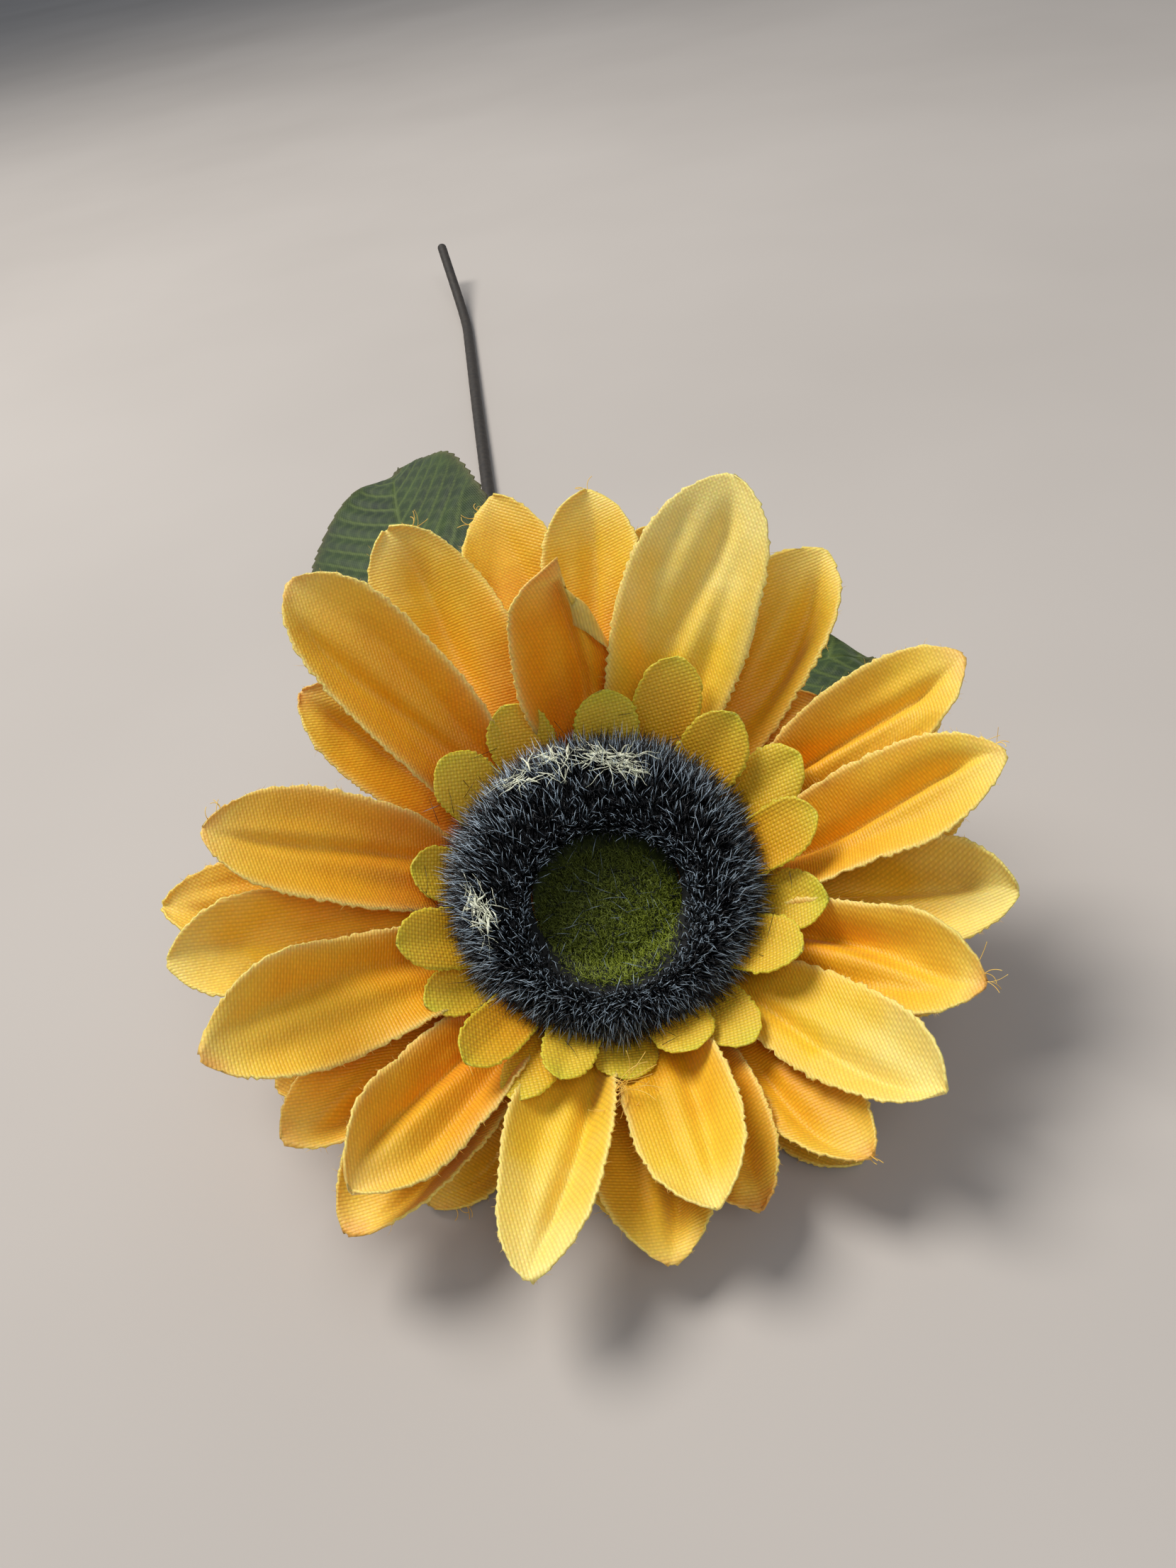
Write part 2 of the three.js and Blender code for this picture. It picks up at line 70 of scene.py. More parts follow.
HEAD_LEAN = math.radians(28)
HEAD_HEIGHT = 24.0
HEAD_CENTRE = TABLE_ORIGIN + np.array([0, 0, HEAD_HEIGHT]) * MM
HEAD_AXES = np.array(
    [
        [1, 0, 0],
        [0, math.cos(HEAD_LEAN), math.sin(HEAD_LEAN)],
        [0, -math.sin(HEAD_LEAN), math.cos(HEAD_LEAN)],
    ]
)


def on_head(points):
    return HEAD_CENTRE + np.asarray(points, float) * MM @ HEAD_AXES


def on_table(points):
    return TABLE_ORIGIN + np.asarray(points, float) * MM


# ---- Camera
def make_camera():
    pitch, roll = math.radians(39.4), math.radians(11.3)
    forward = Vector((0, math.cos(pitch), -math.sin(pitch)))
    level_right = Vector((1, 0, 0))
    level_up = Vector((0, math.sin(pitch), math.cos(pitch)))
    right = level_right * math.cos(roll) - level_up * math.sin(roll)
    up = level_right * math.sin(roll) + level_up * math.cos(roll)
    data = bpy.data.cameras.new("camera")
    data.sensor_width = 36
    data.lens = 27.05
    camera = bpy.data.objects.new("camera", data)
    bpy.context.scene.collection.objects.link(camera)
    turn = Matrix((right, up, -forward)).transposed().to_4x4()
    place = on_table([0.56, -146.7, 168.6])
    camera.matrix_world = Matrix.Translation(Vector(place)) @ turn
    data.clip_start, data.clip_end = 0.01, 40
    bpy.context.scene.camera = camera


make_camera()


# ---- Material nodes
def linear(*colour):
    """An sRGB colour as a linear one, with alpha."""
    return (
        *(c / 12.92 if c <= 0.04045 else ((c + 0.055) / 1.055) ** 2.4 for c in colour),
        1.0,
    )


class Finish:
    """A material with one Principled shader, and short names for the nodes that feed it."""

    def __init__(self, name, **sockets):
        self.material = bpy.data.materials.new(name)
        self.material.use_nodes = True
        self.tree = self.material.node_tree
        self.shader = self.tree.nodes["Principled BSDF"]
        for socket, value in sockets.items():
            self.shader.inputs[socket.replace("_", " ")].default_value = value

    def node(self, kind, inputs=(), output=0, **settings):
        made = self.tree.nodes.new(kind)
        for key, value in settings.items():
            setattr(made, key, value)
        for key, value in dict(inputs).items():
            self.feed(made.inputs[key], value)
        return made.outputs[output]

    def feed(self, socket, value):
        if isinstance(value, bpy.types.NodeSocket):
            self.tree.links.new(value, socket)
        else:
            socket.default_value = value

    def math(self, operation, a, b=0.0, c=0.0, clamp=False):
        inputs = {0: a, 1: b, 2: c}
        return self.node("ShaderNodeMath", inputs, operation=operation, use_clamp=clamp)

    def mix(self, share, a, b, blend="MIX"):
        inputs = {0: share, 6: a, 7: b}
        return self.node("ShaderNodeMix", inputs, 2, data_type="RGBA", blend_type=blend)

    def ramp(self, value, *stops):
        made = self.tree.nodes.new("ShaderNodeValToRGB")
        marks = made.color_ramp.elements
        while len(marks) < len(stops):
            marks.new(0.5)
        for mark, (position, colour) in zip(marks, stops):
            mark.position, mark.color = position, colour
        self.feed(made.inputs[0], value)
        return made.outputs[0]

    def field(self, name):
        return self.node("ShaderNodeAttribute", output=2, attribute_name=name)

    def place(self):
        return self.node("ShaderNodeTexCoord", output=3)

    def noise(self, scale, detail=3.0, coords=None, stretch=None):
        coords = coords or self.place()
        if stretch:
            coords = self.node("ShaderNodeMapping", {"Vector": coords, "Scale": stretch})
        inputs = {"Vector": coords, "Scale": scale, "Detail": detail}
        return self.node("ShaderNodeTexNoise", inputs)

    def threads(self, spacing, lines):
        """A weave's height from the flat cut's millimetres, 0 in the gaps to about 1.

        `lines` is how much the threads of one direction stand out over the other's.
        """
        flat = self.node("ShaderNodeUVMap", uv_map="cut")
        axes = self.tree.nodes.new("ShaderNodeSeparateXYZ")
        self.feed(axes.inputs[0], flat)
        warp, weft = (
            self.math("SINE", self.math("MULTIPLY", axes.outputs[k], math.pi / spacing))
            for k in (0, 1)
        )
        checks = self.math("MULTIPLY", self.math("MULTIPLY", warp, weft), 0.2)
        rows = self.math("MULTIPLY_ADD", self.math("ABSOLUTE", weft), lines, checks)
        return self.math("MULTIPLY_ADD", self.math("ABSOLUTE", warp), 0.8 - lines, rows)

    def colour(self, value):
        self.feed(self.shader.inputs["Base Color"], value)
        return self

    def bump(self, *heights):
        """Each height is (value, millimetres)."""
        normal = None
        for value, depth in heights:
            inputs = {"Height": value, "Distance": depth * MM, "Strength": 1.0}
            if normal:
                inputs["Normal"] = normal
            normal = self.node("ShaderNodeBump", inputs)
        self.feed(self.shader.inputs["Normal"], normal)
        return self


def petal_finish(name, palette, spacing, lines, weave_depth, weave_gap_shade, soak=6.0):
    """Woven cloth, deeper at the root and paler to the tip, partly as dyed and partly painted shade and
    highlight, with every petal its own tone.

    `palette` holds the root's, the middle's, the tip's and the cut edge's colours. The root's deep orange
    is partly painted shade where the petals meet the middle. The tip's and the edge's pale yellows are
    partly painted highlight.
    `soak` is how sharply the root's deeper colour shows at the points of some petals.
    """
    root, middle, tip, edge = (linear(*cloth_colour) for cloth_colour in palette)
    made = Finish(
        name,
        Roughness=0.5,
        Sheen_Weight=0.2,
        Sheen_Roughness=0.4,
        Sheen_Tint=linear(1, 0.93, 0.72),
        Specular_IOR_Level=0.4,
        Subsurface_Weight=0.45,
        Subsurface_Scale=0.0009,
        Subsurface_Radius=(1.0, 0.55, 0.14),
    )
    tone = made.field("tone")
    along = made.math("MULTIPLY_ADD", tone, 0.2, made.field("along"))
    blotch = made.noise(120, 4)
    along = made.math("MULTIPLY_ADD", made.math("SUBTRACT", blotch, 0.5), 0.5, along)
    along = made.math("MULTIPLY", along, 0.72)
    # Painted shade and highlight: the ramp's deep orange root stands partly for shade at the middle of the
    # flower, and its pale tip partly for highlight.
    cloth_colour = made.ramp(along, (0.0, root), (0.32, middle), (0.68, tip), (0.97, edge))
    # Painted highlight, partly: the thin pale cut edge is both the frayed cloth's own lighter edge and a
    # highlight along it.
    rim = made.math("POWER", made.field("rim"), 14.0)
    cloth_colour = made.mix(made.math("MULTIPLY", rim, 0.75), cloth_colour, edge)
    point = made.math("MULTIPLY_ADD", blotch, 0.3, made.field("along"))
    point = made.math("SUBTRACT", point, 1.09, clamp=True)
    soaked = made.math("MULTIPLY", made.math("LESS_THAN", tone, 0.1), soak)
    cloth_colour = made.mix(made.math("MULTIPLY", point, soaked, clamp=True), cloth_colour, root)
    weave = made.threads(spacing, lines)
    slub = made.noise(900, 2, stretch=(1, 0.2, 1))
    # Painted shade: the cloth is darker in the gaps between the threads. The slub below is the yarn's own
    # unevenness.
    lightness = made.math("MULTIPLY_ADD", weave, weave_gap_shade, 1.0 - 0.72 * weave_gap_shade)
    lightness = made.math("MULTIPLY_ADD", made.math("SUBTRACT", slub, 0.5), 0.14, lightness)
    shade = made.node("ShaderNodeCombineColor", {0: lightness, 1: lightness, 2: lightness})
    made.colour(made.mix(1.0, cloth_colour, shade, "MULTIPLY"))
    return made.bump((weave, weave_depth), (slub, 0.05), (blotch, 0.3)).material


LONG_WEAVE = dict(spacing=0.53, lines=0.6, weave_depth=0.09, weave_gap_shade=0.3)
SHORT_WEAVE = dict(spacing=0.62, lines=0.42, weave_depth=0.14, weave_gap_shade=0.42, soak=0.0)
# The middle and back layers are the same cloth a little deeper: painted shade from the layers above them.
FRONT_CLOTH = petal_finish(
    "petal_cloth_front",
    [(0.88, 0.5, 0.01), (0.93, 0.65, 0.04), (0.96, 0.78, 0.2), (0.98, 0.88, 0.52)],
    **LONG_WEAVE,
)
MIDDLE_CLOTH = petal_finish(
    "petal_cloth_middle",
    [(0.85, 0.46, 0.01), (0.92, 0.63, 0.03), (0.95, 0.76, 0.18), (0.98, 0.87, 0.48)],
    **LONG_WEAVE,
)
BACK_CLOTH = petal_finish(
    "petal_cloth_back",
    [(0.83, 0.43, 0.01), (0.9, 0.6, 0.03), (0.94, 0.73, 0.15), (0.97, 0.84, 0.42)],
    **LONG_WEAVE,
)
SHORT_CLOTH = petal_finish(
    "short_petal_cloth",
    [(0.86, 0.54, 0.02), (0.88, 0.66, 0.07), (0.89, 0.75, 0.2), (0.8, 0.79, 0.2)],
    **SHORT_WEAVE,
)


def leaf_finish(name, *palette):
    """Woven cloth in two greens, with paler veins and a browned cut edge."""
    deep, bright, vein = (linear(*cloth_colour) for cloth_colour in palette)
    made = Finish(
        name,
        Roughness=0.62,
        Sheen_Weight=0.2,
        Sheen_Roughness=0.5,
        Sheen_Tint=linear(0.75, 0.82, 0.7),
        Specular_IOR_Level=0.35,
    )
    blotch = made.noise(90, 5)
    weave = made.threads(0.55, 0.5)
    cloth_colour = made.ramp(blotch, (0.3, deep), (0.7, bright))
    cloth_colour = made.mix(made.math("MULTIPLY", made.field("vein"), 0.55), cloth_colour, vein)
    rim = made.math("POWER", made.field("rim"), 26.0)
    cloth_colour = made.mix(made.math("MULTIPLY", rim, 0.5), cloth_colour, linear(0.42, 0.36, 0.22))
    # Painted shade: the cloth is darker in the gaps between the threads.
    lightness = made.math("MULTIPLY_ADD", weave, 0.2, 0.86)
    shade = made.node("ShaderNodeCombineColor", {0: lightness, 1: lightness, 2: lightness})
    made.colour(made.mix(1.0, cloth_colour, shade, "MULTIPLY"))
    return made.bump((weave, 0.07), (blotch, 0.2)).material


LEAF_CLOTH = leaf_finish("leaf_cloth", (0.09, 0.15, 0.05), (0.19, 0.27, 0.08), (0.4, 0.46, 0.2))
SEPAL_CLOTH = leaf_finish("sepal_cloth", (0.16, 0.24, 0.1), (0.27, 0.35, 0.15), (0.36, 0.44, 0.22))


def hair_finish(name, palette, pale_share, roughness):
    """Root, tip and pale colours: each hair runs from its root colour to its tip colour, and a share of the
    hairs have pale ends. On the fur the lighter tips are painted sheen and the pale ends painted glints; on
    the flock the dark root colour is painted shade in the pile.
    """
    root, tip, pale = (linear(*cloth_colour) for cloth_colour in palette)
    made = Finish(name, Roughness=roughness, Specular_IOR_Level=0.5)
    tone = made.field("tone")
    along = made.field("along")
    hair = made.mix(made.math("POWER", along, 1.6), root, tip)
    is_pale = made.math("GREATER_THAN", tone, 1 - pale_share)
    made.colour(made.mix(made.math("MULTIPLY", is_pale, made.math("POWER", along, 1.3)), hair, pale))
    return made.material


# Black bristles: the blue-grey towards the tips is painted sheen, and the pale ends of a share of them are
# painted glints.
FUR = hair_finish(
    "fur", [(0.015, 0.016, 0.02), (0.08, 0.09, 0.115), (0.82, 0.9, 0.96)], 0.26, 0.32
)
# Olive flock: the dark root colour is painted shade in the pile and, where the fibres stop short of their
# tip colour, the ring's painted shadow.
FLOCK = hair_finish(
    "flock", [(0.24, 0.26, 0.04), (0.66, 0.72, 0.14), (0.8, 0.86, 0.46)], 0.08, 0.6
)


def plain_finish(name, low, high, scale, depth, detail=4.0, stretch=None, **sockets):
    """Two tones of one colour broken up by noise, with the same noise as fine relief."""
    made = Finish(name, **sockets)
    grain = made.noise(scale, detail, stretch=stretch)
    made.colour(made.ramp(grain, (0.3, linear(*low)), (0.7, linear(*high))))
    return made.bump((grain, depth)).material


FUR_BACKING = plain_finish(
    "fur_backing", (0.02, 0.02, 0.025), (0.06, 0.06, 0.07), 700, 0.3, Roughness=0.9
)
# The button under the fibres is a darker green than they are: painted shade under the pile.
FLOCK_BASE = plain_finish(
    "flock_base", (0.13, 0.15, 0.03), (0.26, 0.3, 0.05), 900, 0.2, Roughness=0.95
)
FELT = plain_finish(
    "felt", (0.16, 0.21, 0.1), (0.24, 0.3, 0.15), 650, 0.35, 8.0, Roughness=0.95, Sheen_Weight=0.4
)
GREEN_PLASTIC = plain_finish(
    "green_plastic", (0.16, 0.24, 0.1), (0.22, 0.31, 0.13), 420, 0.04, Roughness=0.45
)
STEM_TAPE = plain_finish(
    "stem_tape", (0.13, 0.11, 0.09), (0.21, 0.18, 0.145), 500, 0.08, 6.0, Roughness=0.6
)
WIRE_STEEL = plain_finish(
    "wire_steel", (0.5, 0.49, 0.47), (0.66, 0.65, 0.63), 800, 0.02, Roughness=0.4, Metallic=1.0
)
CLIP_STEEL = plain_finish(
    "clip_steel",
    (0.72, 0.73, 0.74),
    (0.82, 0.82, 0.83),
    700,
    0.012,
    3.0,
    (1, 0.05, 1),
    Roughness=0.27,
    Metallic=1.0,
)
SPRING_STEEL = plain_finish(
    "spring_steel", (0.5, 0.5, 0.52), (0.65, 0.65, 0.67), 900, 0.01, Roughness=0.3, Metallic=1.0
)
GRIP_RUBBER = plain_finish(
    "grip_rubber", (0.8, 0.79, 0.75), (0.88, 0.87, 0.83), 800, 0.04, Roughness=0.7
)
THREAD = plain_finish("thread", (0.14, 0.2, 0.09), (0.25, 0.32, 0.16), 2500, 0.1, Roughness=0.8)
YELLOW_FIBRE = plain_finish(
    "yellow_fibre", (0.92, 0.7, 0.2), (0.99, 0.86, 0.48), 300, 0.01, Roughness=0.6
)
GLUE = plain_finish("dried_glue", (0.84, 0.85, 0.72), (0.97, 0.97, 0.88), 1200, 0.1, Roughness=0.4)


# ---- Mesh building
class Shell:
    """Points in metres with faces, the flat cut's millimetres and named fields, joined up."""

    def __init__(self):
        self.parts = []

    def add(self, points, faces, cut=None, **fields):
        points = np.asarray(points, float).reshape(-1, 3)
        cut = np.zeros((len(points), 2)) if cut is None else np.asarray(cut).reshape(-1, 2)
        fields = {k: np.broadcast_to(np.ravel(v), len(points)) for k, v in fields.items()}
        self.parts.append((points, [np.asarray(f) for f in faces], cut, fields))
        return self

    def build(self, name, body, finish, slot, cad=()):
        starts = np.cumsum([0] + [len(p[0]) for p in self.parts])
        points = np.concatenate([p[0] for p in self.parts])
        faces = [f + s for p, s in zip(self.parts, starts) for f in p[1]]
        loops = np.concatenate([f.ravel() for f in faces])
        sizes = np.concatenate([np.full(len(f), f.shape[1]) for f in faces])
        mesh = bpy.data.meshes.new(name)
        mesh.vertices.add(len(points))
        mesh.vertices.foreach_set("co", points.astype(np.float32).ravel())
        mesh.loops.add(len(loops))
        mesh.loops.foreach_set("vertex_index", loops.astype(np.int32))
        mesh.polygons.add(len(sizes))
        mesh.polygons.foreach_set(
            "loop_start", np.concatenate([[0], np.cumsum(sizes)[:-1]]).astype(np.int32)
        )
        mesh.update(calc_edges=True)
        mesh.shade_smooth()
        cut = np.concatenate([p[2] for p in self.parts])
        layer = mesh.uv_layers.new(name="cut")
        layer.data.foreach_set("uv", cut[loops].astype(np.float32).ravel())
        for key in self.parts[0][3]:
            values = np.concatenate([p[3][key] for p in self.parts])
            held = mesh.attributes.new(key, "FLOAT", "POINT")
            held.data.foreach_set("value", values.astype(np.float32))
        made = bpy.data.objects.new(name, mesh)
        bpy.context.scene.collection.objects.link(made)
        mesh.materials.append(finish)
        if body:
            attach(made, body)
        if cad:
            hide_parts(*cad)
        return made


def grid_faces(rows, columns):
    i, j = np.meshgrid(np.arange(rows), np.arange(columns), indexing="ij")
    a = (i * (columns + 1) + j).ravel()
    return np.stack([a, a + columns + 1, a + columns + 2, a + 1], -1)


def thicken(made, thickness):
    solid = made.modifiers.new("thickness", "SOLIDIFY")
    solid.thickness = thickness * MM
    solid.offset = 0
    solid.use_even_offset = False


def unit(vectors):
    return vectors / np.linalg.norm(vectors, axis=-1, keepdims=True)


def ease(low, high, value):
    t = np.clip((value - low) / (high - low), 0, 1)
    return t * t * (3 - 2 * t)


def tube(path, radii, sides=12):
    """Points and faces of a closed round tube along a path, turned as little as possible."""
    path = np.asarray(path, float)
    radii = np.broadcast_to(radii, len(path))
    along = unit(np.gradient(path, axis=0))
    side = np.cross(along[0], [0.31, 0.17, 0.93])
    angles = np.arange(sides) * 2 * math.pi / sides
    rings = []
    for point, forward, radius in zip(path, along, radii):
        side = unit(side - forward * (side @ forward))
        other = np.cross(forward, side)
        ring = np.outer(np.cos(angles), side) + np.outer(np.sin(angles), other)
        rings.append(point + radius * ring)
    points = np.concatenate([*rings, path[[0, -1]]])
    i, j = np.meshgrid(np.arange(len(path) - 1), np.arange(sides), indexing="ij")
    a, b = (i * sides + j).ravel(), (i * sides + (j + 1) % sides).ravel()
    walls = np.stack([a, b, b + sides, a + sides], -1)
    last, k = (len(path) - 1) * sides, np.arange(sides)
    first_cap = np.stack([np.full(sides, len(points) - 2), (k + 1) % sides, k], -1)
    last_cap = np.stack([np.full(sides, len(points) - 1), last + k, last + (k + 1) % sides], -1)
    return points, [walls, np.concatenate([first_cap, last_cap])]


def smooth_path(corners, count):
    """A centripetal Catmull-Rom curve through the corners, evenly sampled."""
    p = np.asarray(corners, float)
    p = np.concatenate([[2 * p[0] - p[1]], p, [2 * p[-1] - p[-2]]])
    made = []
    for a, b, c, d in zip(p, p[1:], p[2:], p[3:]):
        t0, t1 = 0.0, np.linalg.norm(b - a) ** 0.5
        t2 = t1 + np.linalg.norm(c - b) ** 0.5
        t3 = t2 + np.linalg.norm(d - c) ** 0.5
        t = np.linspace(t1, t2, 24, endpoint=False)[:, None]
        a1 = ((t1 - t) * a + (t - t0) * b) / (t1 - t0)
        a2 = ((t2 - t) * b + (t - t1) * c) / (t2 - t1)
        a3 = ((t3 - t) * c + (t - t2) * d) / (t3 - t2)
        b1 = ((t2 - t) * a1 + (t - t0) * a2) / (t2 - t0)
        b2 = ((t3 - t) * a2 + (t - t1) * a3) / (t3 - t1)
        made.append(((t2 - t) * b1 + (t - t1) * b2) / (t2 - t1))
    dense = np.concatenate([*made, p[-2:-1]])
    run = np.concatenate([[0], np.cumsum(np.linalg.norm(np.diff(dense, axis=0), axis=1))])
    even = np.linspace(0, run[-1], count)
    return np.stack([np.interp(even, run, dense[:, k]) for k in range(3)], -1)


def turned(profile, segments=72, ripple=0.0, ripples=10):
    """Points and faces of a closed ring of revolution about z from [radius, z] corners."""
    profile = np.asarray(profile, float)
    angle = np.arange(segments) * 2 * math.pi / segments
    swell = 1 + ripple * np.cos(ripples * angle)
    r, z = profile[:, 0][None, :], profile[:, 1][None, :]
    n = len(profile)
    x, y = r * (swell * np.cos(angle))[:, None], r * (swell * np.sin(angle))[:, None]
    points = np.stack([x, y, np.broadcast_to(z, (segments, n))], -1).reshape(-1, 3)
    i, j = np.meshgrid(np.arange(segments), np.arange(n), indexing="ij")
    a, b = i * n + j, i * n + (j + 1) % n
    c, d = ((i + 1) % segments) * n + (j + 1) % n, ((i + 1) % segments) * n + j
    return points, [np.stack([a, d, c, b], -1).reshape(-1, 4)]


HAIR_POINTS = 7


def hairs(roots, directions, lengths, radius, droop, tones):
    """Three-sided hairs, each a root ring, a ring part way and a point, with a soft bend."""
    n = len(roots)
    directions = unit(directions)
    side = unit(np.cross(directions, unit(rng.normal(size=(n, 3)))))
    other = np.cross(directions, side)
    length = np.asarray(lengths)[:, None]
    bend = side * np.asarray(droop)[:, None] * length
    middle = roots + directions * length * 0.55 + bend * 0.3
    tip = roots + directions * length + bend
    points = np.empty((n, 7, 3))
    for k in range(3):
        angle = 2 * math.pi * k / 3
        spoke = (math.cos(angle) * side + math.sin(angle) * other) * radius
        points[:, k] = roots + spoke
        points[:, 3 + k] = middle + spoke * 0.8
    points[:, 6] = tip
    base = (np.arange(n) * HAIR_POINTS)[:, None]
    walls = np.concatenate([base + [k, (k + 1) % 3, 3 + (k + 1) % 3, 3 + k] for k in range(3)])
    ends = [base + [3 + k, 3 + (k + 1) % 3, 6] for k in range(3)]
    caps = np.concatenate([*ends, base + [2, 1, 0]])
    along = np.tile([0, 0, 0, 0.5, 0.5, 0.5, 1], n)
    return points.reshape(-1, 3), [walls, caps], along, np.repeat(tones, HAIR_POINTS)


def hair_piece(name, finish, slot, roots, directions, lengths, radius, droop, tones, ends=1.0):
    """Hairs on the head as one piece; `ends` is how far each goes towards its tip's colour."""
    points, faces, along, tone = hairs(roots, directions, lengths, radius, droop, tones)
    along = along * np.repeat(np.broadcast_to(ends, len(tones)), HAIR_POINTS)
    Shell().add(on_head(points), faces, along=along, tone=tone).build(name, "head", finish, slot)


# ---- Petals
PETAL_CUP = 0.12
PETAL_BEND = -14
CLOTH_THICKNESS = 0.35
HUB_R = 20.3
AXLE_R = 2.4

# Azimuth, length, width, extra lift, extra bend, sway, how pale: azimuth 0 points to +x, 90 up
# the face. How pale is partly each petal's own tone and partly painted light and shade, set from
# how lit each petal looks; the standing petal at 86 is deeper as painted shade. Where two of a
# layer cross, the one listed first lies on top.
FRONT_PETALS = dict(
    hub=-6,
    root=20,
    lift=35,
    droop=2,
    slanted={86: 0.26},
    petals=[
        (357, 55, 18, 1, 0, 4, 0.3), (14, 56, 18, -1, 0, 3, -0.2),
        (62, 60, 26, 2, 0, -3, 2.2), (86, 48, 21, 20, 54, 0, -0.5),
        (127, 61, 20, -1, 0, 0, -0.6), (164, 53, 20, 0, 0, 2, -0.5),
        (197, 57, 19, 0, 0, 2, 0.2), (225, 51, 17, -2, 0, 0, -0.6),
        (251, 53, 16, -2, 0, 0, 1.4), (277, 45, 17, 0, 0, 0, 0.6),
        (312, 51.5, 16, -2, 0, 0, 1.5), (328, 50, 17, -2, 0, 0, 0.0),
    ],
)
MIDDLE_PETALS = dict(
    hub=-7.4,
    root=20,
    lift=28,
    droop=2,
    slanted={},
    petals=[
        (14, 48, 16, -2, 0, 0, -0.5), (44, 55, 20, 1, 0, 0, 0.4),
        (81, 57, 19, 0, 0, 0, 0.5), (111, 60, 21, 1, 0, 0, 1.0),
        (137, 48, 17, -2, 0, 0, -0.2), (183, 57, 19, 0, 0, 0, 0.5),
        (212, 51, 17, 0, 0, 0, -0.9), (226, 53, 17, -3, 0, 0, -0.2),
        (269, 47, 19, -2, 0, 0, 0.0), (283, 44, 16, 0, 0, 0, -0.7),
        (300, 47, 15, 0, 0, 0, -0.4), (343, 52, 18, 1, 0, 0, 1.8),
    ],
)
BACK_PETALS = dict(
    hub=-8.8,
    root=20,
    lift=20,
    droop=3,
    slanted={},
    petals=[
        (0, 45, 17, 0, 0, 0, 0.0), (31, 34, 16, 0, 0, 0, -0.6), (71, 53, 18, 0, 0, 0, 0.0),
        (95, 62, 20, 0, 0, 0, 0.6), (131, 43, 17, 0, 0, 0, 0.0),
        (173, 58, 18, 0, 0, 0, 0.4), (203, 46, 17, 0, 0, 0, -0.5),
        (231, 40, 18, -11, 0, 0, 0.4), (264, 37, 17, -4, 0, 0, 0.0),
        (301, 42, 17, -9, 0, 0, 0.2), (330, 42, 17, -4, 0, 0, -0.6),
    ],
)


def petal_profile(s, blunt=1.7):
    """Half width along the length as a share of the widest: narrow root, rounded point."""
    root, widest = 0.34, 0.56
    near = root + (1 - root) * np.sin(math.pi / 2 * np.minimum(s / widest, 1)) ** 1.2
    x = np.clip((s - widest) / (1 - widest), 0, 1)
    far = np.maximum(0.06, np.cos(math.pi / 2 * x**blunt) ** 0.65)
    return np.where(s < widest, near, far)


def wander(s, size, waves):
    """A smooth random line of about the given size."""
    total = np.zeros_like(s)
    for k in range(1, waves + 1):
        total += rng.normal() / k * np.sin(2 * math.pi * (k * 0.6 * s + rng.random()))
    return size * total


def petal(shape, relief, rows=96, columns=24, blunt=1.75, slant=0.0):
    """One petal on the head: its points, its flat cut and how far along and out each point is.

    `slant` is the share of the length that its point loses on one side.
    """
    hub, root, azimuth, length, width, lift, bend, sway = shape
    start, turn = math.radians(lift - bend / 2), math.radians(bend)
    tongue = 2.5
    s = np.concatenate([[-tongue / length], np.linspace(0, 1, rows) ** 0.92])[:, None]
    u = np.linspace(-1, 1, columns + 1)[None, :]
    t = np.maximum(s, 0)
    half = width / 2 * petal_profile(t, blunt * rng.uniform(0.88, 1.12))
    left, right = (1 + wander(t, 0.035, 5) * ease(0.1, 0.4, t) for _ in range(2))
    across = half * np.where(u > 0, left, right) * u
    fray = rng.normal(0, 0.15, (rows + 1, 1)) * (np.abs(u) == 1) * (t > 0)
    across = across + fray * np.sign(u)
    area = float(np.sum(np.diff(s[:, 0]) * length * (half[1:, 0] + half[:-1, 0])))
    shorter = 1 - slant * (1 - u) / 2 * ease(0.1, 1, t)
    s, t = s * shorter, t * shorter
    angle = start + turn * t
    radius = root + length * (np.sin(angle) - math.sin(start)) / turn + np.minimum(s, 0) * length
    height = hub + length * (math.cos(start) - np.cos(angle)) / turn
    rise = PETAL_CUP * half * u**2 * np.minimum(1, 3 * t) + relief(t, u, half)
    a = math.radians(azimuth)
    out, side = np.array([math.cos(a), math.sin(a)]), np.array([-math.sin(a), math.cos(a)])
    r = radius - rise * np.sin(angle)
    w = across + sway * t**2
    points = np.stack(
        [r * out[0] + w * side[0], r * out[1] + w * side[1], height + rise * np.cos(angle)], -1
    )
    flat = root + s * length + 0 * u
    cut = np.stack([flat * out[0] + w * side[0], flat * out[1] + w * side[1]], -1)
    rim = np.maximum(np.abs(u) + 0 * t, t / shorter)
    return points, cut, t + 0 * u, rim, area


